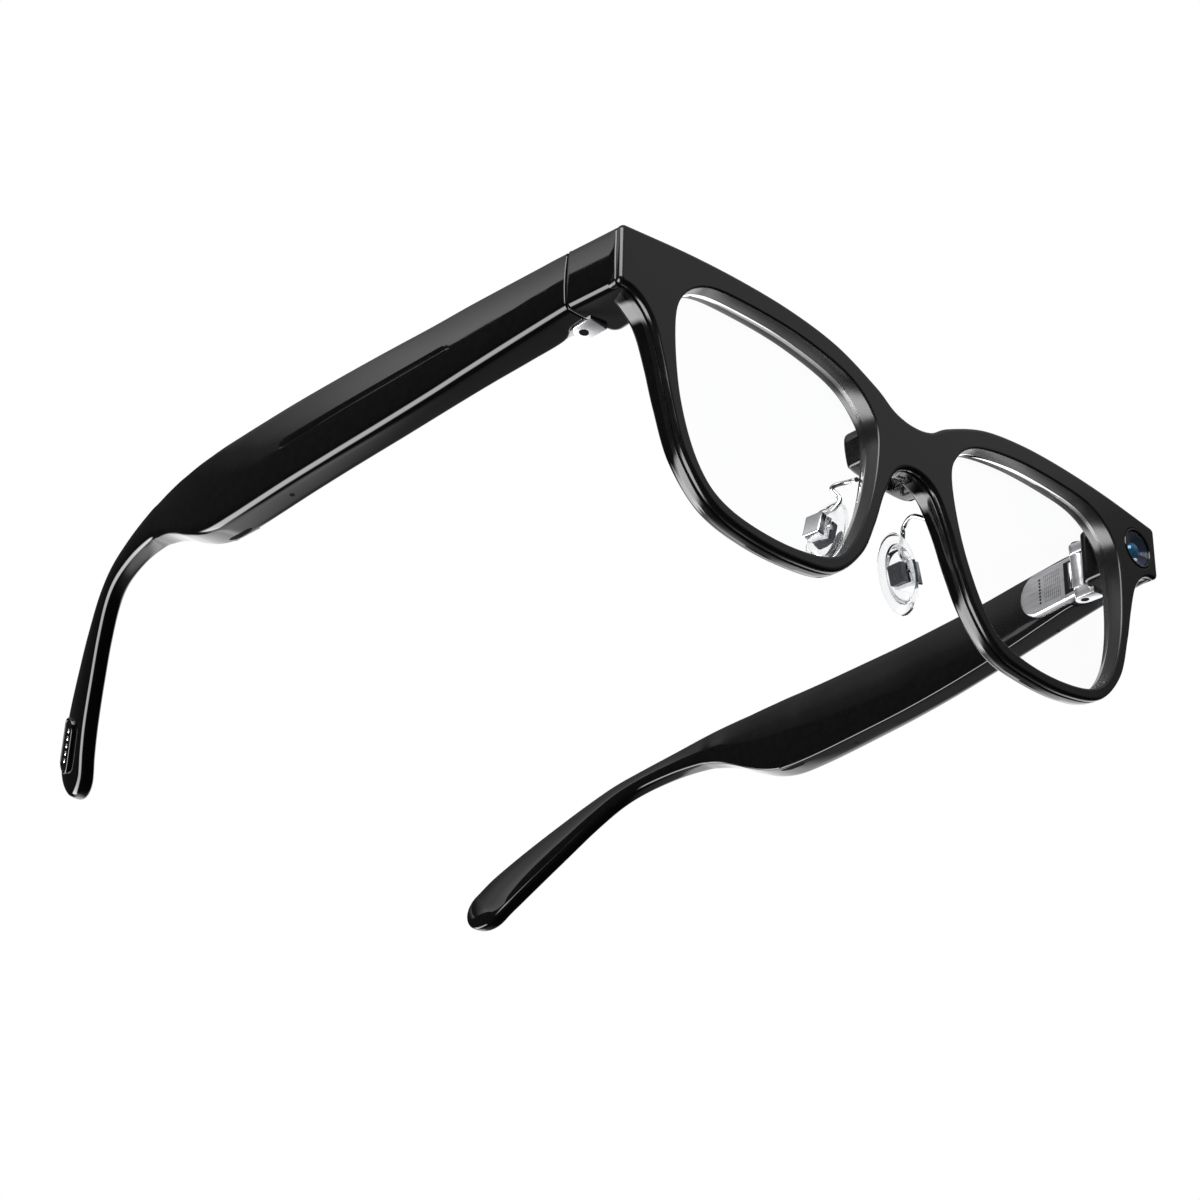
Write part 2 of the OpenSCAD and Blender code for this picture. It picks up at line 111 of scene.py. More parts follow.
def capTriangles(loops, starts):
    # Flat faces that fill the first loop and leave the others open
    flat = np.vstack(loops)
    first = np.cumsum([0] + [len(q) for q in loops])
    index = np.concatenate([s + np.arange(len(q)) for q, s in zip(loops, starts)])
    edges = [(int(f + i), int(f + (i + 1) % len(q))) for f, q in zip(first, loops) for i in range(len(q))]
    made = geometry.delaunay_2d_cdt([Vector(v) for v in flat], edges, [], 1, 1e-7, True)
    faces = []
    for face in made[2]:
        ids = [made[3][v][0] for v in face]
        middle = flat[ids].mean(0)
        if insideLoop(middle, loops[0]) and not any(insideLoop(middle, hole) for hole in loops[1:]):
            faces.append([int(index[v]) for v in ids])
    return faces


def insideLoop(p, loop):
    # Counts how often a ray to the right crosses the loop
    a, b = loop, np.roll(loop, -1, 0)
    hit = (a[:, 1] > p[1]) != (b[:, 1] > p[1])
    with np.errstate(divide="ignore", invalid="ignore"):
        x = a[:, 0] + (p[1] - a[:, 1]) * (b[:, 0] - a[:, 0]) / (b[:, 1] - a[:, 1])
    return bool((hit & (p[0] < x)).sum() % 2)


def faceOut(points, faces):
    # Flips the winding when the enclosed volume comes out negative
    p = np.asarray(points)
    tris = np.array([[f[0], f[i], f[i + 1]] for f in faces for i in range(1, len(f) - 1)])
    a, b, c = p[tris[:, 0]], p[tris[:, 1]], p[tris[:, 2]]
    volume = np.einsum("ij,ij->i", a, np.cross(b, c)).sum()
    return faces if volume > 0 else [f[::-1] for f in faces]


def mirrored(points, side):
    # Left pieces are drawn; the right ones have their sign across changed
    return np.asarray(points) * np.array([side, 1, 1])


def onSide(shape, side, move=None):
    # One part: the shape's points moved to their place, then mirrored for the right side
    points, faces = shape
    return [(mirrored(move(points) if move else points, side), faces)]


def joinParts(parts):
    # Stacks several closed shells into one list of points and faces, each facing outwards
    points, faces, start = [], [], 0
    for p, f in parts:
        f = faceOut(p, f)
        points.append(np.asarray(p).reshape(-1, 3))
        faces += [[v + start for v in face] for face in f]
        start += len(points[-1])
    return np.vstack(points), faces


def addPiece(name, parts, body, look, replaces=(), sharp=40, second=None):
    # One mesh from closed shells; second is another finish for a run of faces: (look, first, last)
    points, faces = joinParts(parts)
    mesh = bpy.data.meshes.new(name)
    mesh.from_pydata(place(points).tolist(), [], faces)
    mesh.materials.append(finish[look])
    if second:
        mesh.materials.append(finish[second[0]])
        at = np.arange(len(faces))
        mesh.polygons.foreach_set("material_index", ((at >= second[1]) & (at < second[2])).astype(np.int32))
    mesh.validate()
    mesh.polygons.foreach_set("use_smooth", np.ones(len(mesh.polygons), bool))
    mesh.set_sharp_from_angle(angle=np.radians(sharp))
    mesh.update()
    piece = bpy.data.objects.new(name, mesh)
    bpy.context.scene.collection.objects.link(piece)
    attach(piece, body)
    if replaces:
        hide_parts(*replaces)
    return piece


def loft(rings):
    # Skin over a stack of rings with the same number of points, closed by a face at each end
    rings = np.asarray(rings)
    n, m = rings.shape[:2]
    ends = [list(range(m))[::-1], list(range((n - 1) * m, n * m))]
    return rings.reshape(-1, 3), gridQuads(n, m) + ends


def lathe(profile, centre, steps=64, axis="y"):
    # Profile of (radius, depth) pairs turned about an axis through the centre; radius 0 closes it, and a
    # profile that ends where it starts makes a ring with no end caps
    closed = tuple(profile[0]) == tuple(profile[-1])
    profile = profile[:-1] if closed else profile
    a = np.linspace(0, 2 * np.pi, steps, endpoint=False)
    r, h = np.asarray(profile, float).T
    x, z = r[:, None] * np.cos(a), r[:, None] * np.sin(a)
    d = np.broadcast_to(h[:, None], x.shape)
    rings = np.stack([x, d, z], -1) if axis == "y" else np.stack([x, z, d], -1)
    rings = rings + np.asarray(centre)
    if closed:
        count = len(rings) * steps
        faces = [[v % count for v in face] for face in gridQuads(len(rings) + 1, steps)]
        return rings.reshape(-1, 3), faces
    return loft(rings)


def carry(loop, rows):
    # Outline drawn in along its normals by each row's inset: its two flat coordinates and the row's depth
    inset, depth = np.asarray(rows, float).T
    flat = loop[None] + inset[:, None, None] * inward(loop)[None]
    return flat[..., 0], flat[..., 1], np.broadcast_to(depth[:, None], flat.shape[:2])


def tube(line, radius, steps=14):
    # Round section carried along a line, on frames square to each tangent and to one fixed direction
    p = np.asarray(line, float)
    t = np.gradient(p, axis=0)
    t /= np.linalg.norm(t, axis=1)[:, None]
    u = np.cross(t, [0.3, 0.2, 1.0])
    u /= np.linalg.norm(u, axis=1)[:, None]
    v = np.cross(t, u)
    a = np.linspace(0, 2 * np.pi, steps, endpoint=False)[None, :, None]
    rings = p[:, None] + radius * (u[:, None] * np.cos(a) + v[:, None] * np.sin(a))
    return loft(rings)


def setInputs(node, values):
    # Gives each socket its value, or links it where the value is another node's socket
    for name, value in values.items():
        if isinstance(value, bpy.types.NodeSocket):
            node.id_data.links.new(value, node.inputs[name])
        else:
            node.inputs[name].default_value = value
    return node


def addNode(tree, kind, values=None, **settings):
    # New node with its settings made first, then its sockets
    node = tree.nodes.new("ShaderNode" + kind)
    for name, value in settings.items():
        setattr(node, name, value)
    return setInputs(node, values or {})


noiseSpan = (0.3, 0.7)      # the part of the noise that spreads colour and roughness
grainDepth = 0.00002        # metres


def makeFinish(name, f):
    # Noise in object space spreads the colour and roughness a little, and lifts a fine bump
    material = bpy.data.materials.new(name)
    material.use_nodes = True
    tree = material.node_tree
    coords = addNode(tree, "TexCoord").outputs["Object"]
    at = addNode(tree, "Mapping", {"Vector": coords, "Scale": f.get("stretch", (1, 1, 1))}).outputs["Vector"]
    noise = addNode(tree, "TexNoise", {"Vector": at, "Scale": f["scale"], "Detail": 4}).outputs["Fac"]
    ramp = addNode(tree, "ValToRGB", {"Fac": noise})
    for mark, position, colour in zip(ramp.color_ramp.elements, noiseSpan, (f["colour"], f["colourTo"])):
        mark.position = position
        mark.color = (*colour, 1)
    levels = addNode(tree, "MapRange", {"Value": noise, "From Min": noiseSpan[0], "From Max": noiseSpan[1],
                                        "To Min": f["rough"][0], "To Max": f["rough"][1]})
    shader = tree.nodes["Principled BSDF"]
    setInputs(shader, {"Base Color": ramp.outputs["Color"], "Roughness": levels.outputs["Result"],
                       "Metallic": f.get("metal", 0), "IOR": f.get("ior", 1.5),
                       "Transmission Weight": f.get("clear", 0), "Coat Weight": f.get("coat", 0),
                       "Coat Roughness": 0.03, "Specular IOR Level": f.get("specular", 0.5)})
    # Where given, paintedGlow makes the surface glow: painted light for the glints and sheen inside the
    # camera, which has no lamp
    if "paintedGlow" in f:
        setInputs(shader, {"Emission Color": (*f["paintedGlow"], 1), "Emission Strength": 1})
    if "bump" in f:
        grain = addNode(tree, "TexNoise", {"Vector": at, "Scale": f["grain"]}).outputs["Fac"]
        bump = addNode(tree, "Bump", {"Height": grain, "Strength": f["bump"], "Distance": grainDepth})
        setInputs(shader, {"Normal": bump.outputs["Normal"]})
    return material


# Colours and roughness run between their two values; scale is the noise, grain the bump, both per metre;
# paintedGlow is an emitted colour that paints glints and sheen
finishes = dict(
    polishedBlack=dict(colour=(0.0016, 0.0016, 0.0018), colourTo=(0.0026, 0.0026, 0.003),
                       rough=(0.035, 0.06), scale=600),
    satinBlack=dict(colour=(0.0075, 0.0075, 0.008), colourTo=(0.0105, 0.0105, 0.011),
                    rough=(0.36, 0.42), scale=1500, bump=0.25, grain=9000),
    coverBlack=dict(colour=(0.0035, 0.0035, 0.004), colourTo=(0.005, 0.005, 0.0055),
                    rough=(0.13, 0.17), scale=900),
    wallBlack=dict(colour=(0.006, 0.006, 0.0065), colourTo=(0.008, 0.008, 0.0085),
                   rough=(0.24, 0.27), scale=900),
    clearLens=dict(colour=(0.985, 0.99, 0.99), colourTo=(0.995, 0.995, 0.995),
                   rough=(0.0, 0.004), scale=60, clear=1, ior=1.12),
    darkWindow=dict(colour=(0.7, 0.78, 0.95), colourTo=(0.75, 0.82, 1.0),
                    rough=(0.0, 0.01), scale=300, clear=1, ior=1.14),
    # The barrel's glow is painted light: a faint navy sheen inside the camera
    barrelBlack=dict(colour=(0.0025, 0.005, 0.012), colourTo=(0.0035, 0.007, 0.016),
                     rough=(0.12, 0.15), scale=900, paintedGlow=(0.0005, 0.0016, 0.004)),
    # The eye's glow is painted light: teal glints in the camera's lens
    blueGlass=dict(colour=(0.005, 0.05, 0.1), colourTo=(0.015, 0.14, 0.2),
                   rough=(0.05, 0.09), scale=450, coat=1, metal=0.5, paintedGlow=(0.0025, 0.017, 0.03)),
    brightSteel=dict(colour=(0.62, 0.63, 0.65), colourTo=(0.7, 0.71, 0.73),
                     rough=(0.12, 0.2), scale=1200, metal=1),
    satinSteel=dict(colour=(0.8, 0.8, 0.83), colourTo=(0.9, 0.9, 0.93),
                    rough=(0.34, 0.42), scale=900, metal=1, stretch=(1, 0.12, 1), bump=0.2, grain=5000),
    lineSteel=dict(colour=(0.2, 0.2, 0.21), colourTo=(0.26, 0.26, 0.28),
                   rough=(0.35, 0.42), scale=900, metal=1),
    darkSteel=dict(colour=(0.035, 0.037, 0.042), colourTo=(0.07, 0.072, 0.08),
                   rough=(0.3, 0.45), scale=2500, metal=0.8, bump=0.3, grain=6000),
    clearSilicone=dict(colour=(0.93, 0.945, 0.955), colourTo=(0.965, 0.975, 0.98),
                       rough=(0.05, 0.11), scale=500, clear=1, ior=1.3),
    # Black for the speakers, and painted shade for holes, slots and recesses, which are drawn as black discs
    # and strips
    holeBlack=dict(colour=(0.001, 0.001, 0.001), colourTo=(0.003, 0.003, 0.003),
                   rough=(0.7, 0.9), scale=4000, specular=0.1),
    ledWhite=dict(colour=(0.75, 0.75, 0.7), colourTo=(0.85, 0.85, 0.8),
                  rough=(0.2, 0.3), scale=3000),
    boardGreen=dict(colour=(0.01, 0.09, 0.035), colourTo=(0.02, 0.13, 0.05),
                    rough=(0.3, 0.5), scale=1800, coat=0.4),
    amberFilm=dict(colour=(0.42, 0.2, 0.04), colourTo=(0.5, 0.27, 0.07),
                   rough=(0.25, 0.4), scale=900),
    batteryFoil=dict(colour=(0.3, 0.33, 0.37), colourTo=(0.4, 0.43, 0.47),
                     rough=(0.3, 0.5), scale=500, metal=0.8, bump=0.4, grain=1500),
    meshBlack=dict(colour=(0.01, 0.01, 0.011), colourTo=(0.04, 0.04, 0.042),
                   rough=(0.3, 0.5), scale=9000, metal=1),
)
finish = {name: makeFinish(name, f) for name, f in finishes.items()}
print("finishes made:", len(finish))

front = dict(coverTo=2.42, shellFrom=2.43, depth=6.0, backSlope=0.0384, edge=0.75, openEdge=0.38,
             brow=[[0, -7.5], [5, -6.6], [10, -3.6], [20, 0.4], [31, 2.15], [43, 2.5], [57, 1.8], [73, 0]],
             lower=[[70.2, -11.7], [67.6, -13.2], [65.2, -16.4], [63.2, -22.2], [61.3, -29], [57.9, -38],
                    [51, -44.9], [41, -47.4], [30, -47.4], [21.5, -45.6], [15, -39.6], [11.4, -32.6],
                    [8.5, -25], [5, -19], [0, -17.1]],
             opening=[[60.2, -14.1], [58.3, -7.3], [52.5, -3.1], [43, -1.95], [30, -2.2], [18, -4.6],
                      [12, -9], [10.1, -15], [12.3, -27], [17.3, -38], [23, -43.3], [34.7, -45.3],
                      [47.6, -43.8], [54.5, -38.6], [58.9, -27.7]],
             openingMiddle=(34.9, -22.5), sideDrop=(-6, -11.5), sideRadii=(1.2, 1.15), spanSteps=12)
cameraSpot = dict(x=66.9, z=-6.6, radius=4.3)


def flip(line):
    # Changes the sign across and runs the line the other way
    return line[::-1] * np.array([-1, 1])


def frontLoop():
    # Brow, side and lower rim of the left half, then the same mirrored, run counter-clockwise
    n = front["spanSteps"]
    brow = np.array(front["brow"], float)
    top = curveThrough(np.vstack([flip(brow), brow[1:]]), n)
    top = top[top[:, 0] >= -1e-9]
    side = brow[-1, 0]
    waist, foot = ([side, z] for z in front["sideDrop"])
    low = np.vstack([[foot], front["lower"]])
    low = curveThrough(np.vstack([low, flip(low)[1:]]), n)
    low = low[low[:, 0] >= -1e-9]
    upper = roundCorner(top[-8], top[-1], waist, front["sideRadii"][0])
    under = roundCorner(waist, low[0], low[8], front["sideRadii"][1])
    half = np.vstack([top[:-8], upper, under, low[9:]])
    return np.vstack([half, flip(half)[1:-1]])[::-1]


def skinRound(loop, rows):
    # Profile carried round a loop: rows are (inset, depth, share of the back slope)
    n = inward(loop)
    rows = np.asarray(rows, float)
    flat = loop[None] + rows[:, 0, None, None] * n[None]
    y = rows[:, 1, None] + rows[:, 2, None] * front["backSlope"] * flat[..., 1]
    return np.stack([flat[..., 0], y, flat[..., 1]], -1)


def plateParts(outer, holes, outerRows, holeRows):
    # Outer skin, one skin for each hole, and flat faces that close the front and the back
    skins = [skinRound(outer, outerRows)] + [skinRound(h, r) for h, r in zip(holes, holeRows)]
    points, faces, starts, ends, start = [], [], [], [], 0
    for k, s in enumerate(skins):
        quads = gridQuads(s.shape[0], s.shape[1], start)
        faces += quads if k == 0 else [q[::-1] for q in quads]
        starts.append(start)
        ends.append(start + (s.shape[0] - 1) * s.shape[1])
        start += s.shape[0] * s.shape[1]
        points.append(s.reshape(-1, 3))
    points = np.vstack(points)
    for row, at, towards in ((0, starts, -1), (-1, ends, 1)):
        loops = [s[row][:, [0, 2]] for s in skins]
        for f in capTriangles(loops, at):
            a, b, c = points[f[0]], points[f[1]], points[f[2]]
            up = np.cross(b - a, c - a)[1]
            faces.append(f if up * towards > 0 else f[::-1])
    return points, faces


def arc(inset, depth, radius, a0, a1, steps=6, slope=0):
    # Rows of a rounded edge about the centre (inset, depth)
    a = np.radians(np.linspace(a0, a1, steps))
    return [[inset - radius * np.cos(t), depth - radius * np.sin(t), slope] for t in a]


outline = frontLoop()
openLoop = curveThrough(front["opening"], front["spanSteps"], True)
openLoops = [openLoop, flip(openLoop)]


def holeSkins(outerRows, holeRows):
    # First and last face of the two lens openings in a plate
    start = (len(outerRows) - 1) * len(outline)
    return start, start + 2 * (len(holeRows) - 1) * len(openLoop)


edge, openEdge, coverTo = front["edge"], front["openEdge"], front["coverTo"]
coverRows = ([[edge + 0.12, 0, 0]] + arc(edge, edge, edge, 90, 0, 9)
             + [[0, 1.02, 0], [0.1, 1.09, 0], [0.3, 1.14, 0], [0.3, 1.26, 0]]      # fine groove in the rim
             + arc(0.5, 1.76, 0.5, 80, 0, 7) + [[0, coverTo, 0], [0.3, coverTo, 0]])
openRows = ([[-0.5, 0, 0]] + [[-a, d, s] for a, d, s in arc(openEdge, openEdge, openEdge, 90, 0, 6)]
            + [[-0.15, coverTo, 0], [-0.35, coverTo, 0]])
around = np.linspace(0, 2 * np.pi, 72, endpoint=False)
cameraLoop = np.stack([cameraSpot["x"] + cameraSpot["radius"] * np.cos(around),
                       cameraSpot["z"] + cameraSpot["radius"] * np.sin(around)], -1)
cameraRows = [[-0.22, 0, 0], [-0.12, 0, 0], [-0.04, 0.03, 0], [0, 0.12, 0], [0, coverTo, 0],
              [-0.1, coverTo, 0]]
cover = plateParts(outline, openLoops + [cameraLoop], coverRows, [openRows, openRows, cameraRows])
addPiece("frontCover", [cover], "front", "coverBlack", ["front_cover"],
         second=("wallBlack", *holeSkins(coverRows, openRows)))
print("front cover made")

seam, back = front["shellFrom"], front["depth"]
rimRows = ([[0.35, seam, 0], [0, seam, 0], [0, seam + 0.5, 0], [0.1, back - 1.5, 0.8]]
           + arc(0.97, back - 0.85, 0.85, 0, -90, 7, 1) + [[1.07, back, 1]])
innerRows = ([[-0.4, seam, 0], [-0.15, seam, 0], [-0.32, back - 1.2, 1]]
             + [[-0.36 - a, d, s] for a, d, s in arc(0.45, back - 0.45, 0.45, 0, -90, 5, 1)]
             + [[-0.96, back, 1]])
rims = plateParts(outline, openLoops, rimRows, [innerRows, innerRows])


def boxSection(a, b, radii, crown, grooveAt=0, grooveDeep=0, cornerSteps=8):
    # Rounded rectangle for every station: half sizes a and b and four corner radii. Crown bows the outer,
    # the inner, and the upper and lower faces by the square of the place along them, and its fourth value
    # leans the inner face. Corners run outer-bottom, outer-top, inner-top, inner-bottom.
    a, b, grooveAt, grooveDeep = (np.asarray(v, float).reshape(-1, 1) for v in (a, b, grooveAt, grooveDeep))
    corners = []
    for radius, x, z, start in zip(radii, (1, 1, -1, -1), (-1, 1, 1, -1), (-90, 0, 90, 180)):
        q = np.asarray(radius, float)[:, None] * np.ones_like(a)
        t = np.radians(np.linspace(start, start + 90, cornerSteps))[None, :]
        corners.append(np.stack([x * (a - q) + q * np.cos(t), z * (b - q) + q * np.sin(t)], -1))
    grooveRows = np.array([-0.34, -0.24, -0.13, 0.13, 0.24, 0.34])
    grooveShape = np.array([0, 0.3, 1, 1, 0.3, 0])
    parts = []
    for k in range(4):
        parts.append(corners[k])
        p, q = corners[k][:, -1:, :], corners[(k + 1) % 4][:, :1, :]
        if k > 0:
            f = np.linspace(0, 1, 10 if k == 2 else 6)[None, 1:-1, None]
            parts.append(p * (1 - f) + q * f)
            continue
        below, above = (np.linspace(*ends, 6)[None, :, None] for ends in ((0.06, 0.44), (0.56, 0.94)))
        z = grooveAt + grooveRows * np.minimum(1, b / 6)
        parts.append(p * (1 - below) + q * below)
        parts.append(np.stack([np.broadcast_to(p[:, :, 0], z.shape) - grooveDeep * grooveShape, z], -1))
        parts.append(p * (1 - above) + q * above)
    section = np.concatenate(parts, 1)
    x, z = section[..., 0], section[..., 1]
    bow = np.where(x > 0, crown[0], crown[1])
    xNew = x * (1 - bow / a * (z / b) ** 2) + np.where(x < 0, crown[3] * (z / b + 1) / 2, 0)
    zNew = z * (1 - crown[2] / b * (x / a) ** 2)
    return np.stack([xNew, zNew], -1)


def roundedBox(lo, hi, edge, steps=5):
    # Box whose section is a rounded rectangle that shrinks at both ends
    lo, hi = np.asarray(lo, float), np.asarray(hi, float)
    a = np.radians(np.linspace(90, 0, steps))
    inset = np.concatenate([edge - edge * np.cos(a), (edge - edge * np.cos(a))[::-1]])
    h = np.concatenate([lo[2] + edge - edge * np.sin(a), (hi[2] - edge + edge * np.sin(a))[::-1]])
    half = (hi - lo) / 2
    mid = (hi + lo) / 2
    s = boxSection(half[0] - inset, half[1] - inset, [np.maximum(edge - inset, 0.02)] * 4, (0, 0, 0, 0))
    x, y = mid[0] + s[..., 0], mid[1] + s[..., 1]
    return loft(np.stack([x, y, np.broadcast_to(h[:, None], x.shape)], -1))


def spread(keys, at):
    # Smooth value at any place from a few (place, value) pairs, through a monotone cubic
    k = np.asarray(keys, float)
    x, y = k[:, 0], k[:, 1]
    d = np.diff(y) / np.diff(x)
    mean = 2 * d[:-1] * d[1:] / (d[:-1] + d[1:] + 1e-12)
    m = np.concatenate([[d[0]], np.where(d[:-1] * d[1:] > 0, mean, 0), [d[-1]]])
    i = np.clip(np.searchsorted(x, at) - 1, 0, len(x) - 2)
    h = x[i + 1] - x[i]
    t = np.clip((at - x[i]) / h, 0, 1)
    return ((2 * t**3 - 3 * t**2 + 1) * y[i] + (t**3 - 2 * t**2 + t) * h * m[i]
            + (-2 * t**3 + 3 * t**2) * y[i + 1] + (t**3 - t**2) * h * m[i + 1])


# Corner block in plan: the outer wall as (back, across), the inner one as (across, back); top and bottom
# are (height, slope)
corner = dict(outer=[[1.28, 72.62], [1.3, 72.78], [1.4, 72.93], [1.58, 73.04], [1.8, 73.1], [12.05, 74.41]],
              inner=[[62.2, 1.28], [62.75, 5.5], [62.8, 9.4]], backY=12.05, backRadius=2.2, outerRadius=0.5,
              top=(-0.02, -0.032), bottom=(-11.5, -0.04), bottomEdge=1.45, innerEdge=1.1, topEdge=0.6,
              backEdge=0.42, crown=0.28, edgeRows=9, wallRows=7)


def cornerShape():
    # Plan outline drawn in over rounded lower and upper edges; the outer wall bows out a little
    c = corner
    outer = np.array(c["outer"])[:, ::-1]
    wallLine = outer[-2] + (outer[-1] - outer[-2]) * np.linspace(0, 0.93, 12)[:, None]
    wall = np.vstack([outer[:-2], wallLine])
    turnOut = roundCorner(wall[-2], outer[-1], [60, c["backY"]], c["outerRadius"], 6)
    innerLine = curveThrough(c["inner"], 5)
    innerBack = [innerLine[-1, 0], c["backY"]]
    turnIn = roundCorner([80, c["backY"]], innerBack, innerLine[-1], c["backRadius"], 12)
    back = np.linspace(turnOut[-1], turnIn[0], 8)[1:-1]
    loop = np.vstack([wall, turnOut, back, turnIn, innerLine[::-1]])
    n = inward(loop)
    n[[0, -1]] = [[-1, 0], [1, 0]]      # the front ends stay flush with the cover
    n[1:4] = [-1, 0]
    k = np.arange(len(loop))
    onWall = k < len(wall)
    onTurn = ~onWall & (k < len(wall) + 6)
    onBack = (k >= len(wall) + 6) & (k < len(wall) + 12)
    low = np.where(onWall, c["bottomEdge"], np.where(onTurn | onBack, c["backEdge"], c["innerEdge"]))
    high = np.where(onTurn | onBack, c["backEdge"], c["topEdge"])
    low[onTurn] = np.linspace(c["bottomEdge"], c["backEdge"], 6)
    t = np.radians(np.linspace(90, 0, c["edgeRows"]))
    z0, z1 = (at + slope * loop[:, 1] for at, slope in (c["bottom"], c["top"]))
    rows = [(low * (1 - np.cos(q)), z0 + low * (1 - np.sin(q))) for q in t]
    share = np.linspace(0, 1, c["wallRows"] + 2)[1:-1]
    rows += [(0 * low, (z0 + low) * (1 - f) + (z1 - high) * f) for f in share]
    rows += [(high * (1 - np.cos(q)), z1 - high * (1 - np.sin(q))) for q in t[::-1]]
    rings = []
    for inset, z in rows:
        p = loop + n * inset[:, None]
        bow = c["crown"] * ((z - (z0 + z1) / 2) / ((z1 - z0) / 2)) ** 2
        rings.append(np.stack([p[:, 0] - np.where(onWall | onTurn, bow, 0), p[:, 1], z], -1))
    return loft(rings)


bridge = dict(outline=[[-9.7, -10], [-9.2, -15.6], [-7.6, -16.9], [-4, -17.35], [0, -17.3], [4, -17.35],
                       [7.6, -16.9], [9.2, -15.6], [9.7, -10], [6, -8.7], [0, -9.6], [-6, -8.7]],
              rows=[(0.25, 4.5), (0.25, 8.4), (0.33, 8.9), (0.6, 9.3), (1.1, 9.55), (1.6, 9.6)])


def bridgeShape():
    # Nose block behind the bridge: its outline shrinks over a rounded back edge, by rows of (inset, depth)
    x, z, y = carry(curveThrough(bridge["outline"], 6, True), bridge["rows"])
    return loft(np.stack([x, y, z], -1))


block = cornerShape()
addPiece("rearFrame", [rims] + onSide(block, 1) + onSide(block, -1) + [bridgeShape()], "front",
         "polishedBlack", ["rear_frame"],
         second=("wallBlack", *holeSkins(rimRows, innerRows)))
print("rear frame made")

lens = dict(front=2.95, back=4.05, bow=0.35, rim=(1.002, 3.4),
            steps=np.array([0.08, 0.2, 0.35, 0.5, 0.65, 0.8, 0.9, 0.97, 1.0]))


def lensShape():
    # Shallow dome in front and behind, its rim rounded, on rays from the middle of the opening
    middle = np.array(front["openingMiddle"])
    ray = openLoop - middle
    bow = lens["bow"] * (1 - lens["steps"]**2)
    domes = [list(zip(lens["steps"], lens[face] - bow)) for face in ("front", "back")]
    rows = domes[0] + [lens["rim"]] + domes[1][::-1]
    return loft([np.stack([middle[0] + q * ray[:, 0], np.full(len(ray), d), middle[1] + q * ray[:, 1]], -1)
                 for q, d in rows])


def hushed(piece):
    # Clear pieces are seen through, but leave no reflection, bounce or shadow on the rest
    piece.visible_glossy = piece.visible_diffuse = piece.visible_shadow = False


sides = ((1, "left"), (-1, "right"))
for side, word in sides:
    hushed(addPiece(word + "Lens", onSide(lensShape(), side), "front", "clearLens", [word + "_lens"],
                    sharp=50))

# Profiles of (radius, depth) from the camera's axis, front face at depth 0
camera = dict(
    ring=[(3.62, 0.9), (3.62, 0.12), (3.68, 0.0), (3.8, -0.1), (3.98, -0.15), (4.12, -0.1), (4.2, 0.0),
          (4.24, 0.15), (4.24, 2.1), (4.0, 2.2), (3.7, 2.1), (3.62, 1.6), (3.62, 0.9)],
    barrel=[(0, 5.2), (2.9, 5.2), (2.9, 1.9), (3.58, 1.9), (3.58, 0.42), (3.5, 0.34), (3.34, 0.34),
            (3.26, 0.42), (3.04, 0.46), (2.98, 0.54), (2.78, 0.58), (2.72, 0.66), (2.52, 0.7), (2.46, 0.78),
            (2.26, 0.82), (2.2, 0.9), (2.0, 0.94), (1.94, 1.02), (1.72, 1.06), (1.66, 1.12), (0, 1.16)],
    eye=[(0, 0.42), (0.3, 0.44), (0.6, 0.49), (0.9, 0.58), (1.2, 0.72), (1.42, 0.86), (1.6, 1.06),
         (1.6, 1.14), (0, 1.15)],
    window=[(0, 0.02), (2.4, 0.04), (3.4, 0.07), (3.58, 0.12), (3.58, 0.24), (3.4, 0.26), (2.4, 0.25),
            (0, 0.24)])


def addRound(name, profile, steps, look, node, sharp=40):
    # Camera piece turned about the camera's axis
    spot = (cameraSpot["x"], 0, cameraSpot["z"])
    return addPiece(name, [lathe(profile, spot, steps)], "front", look, [node], sharp)


addRound("cameraRing", camera["ring"], 96, "polishedBlack", "camera_bezel")
# The barrel and the eye glow faintly: painted light, not a lamp
addRound("cameraBarrel", camera["barrel"], 96, "barrelBlack", "camera_barrel", 30)
addRound("cameraEye", camera["eye"], 64, "blueGlass", "camera_lens")
hushed(addRound("cameraWindow", camera["window"], 96, "darkWindow", "camera_window"))
print("camera made")

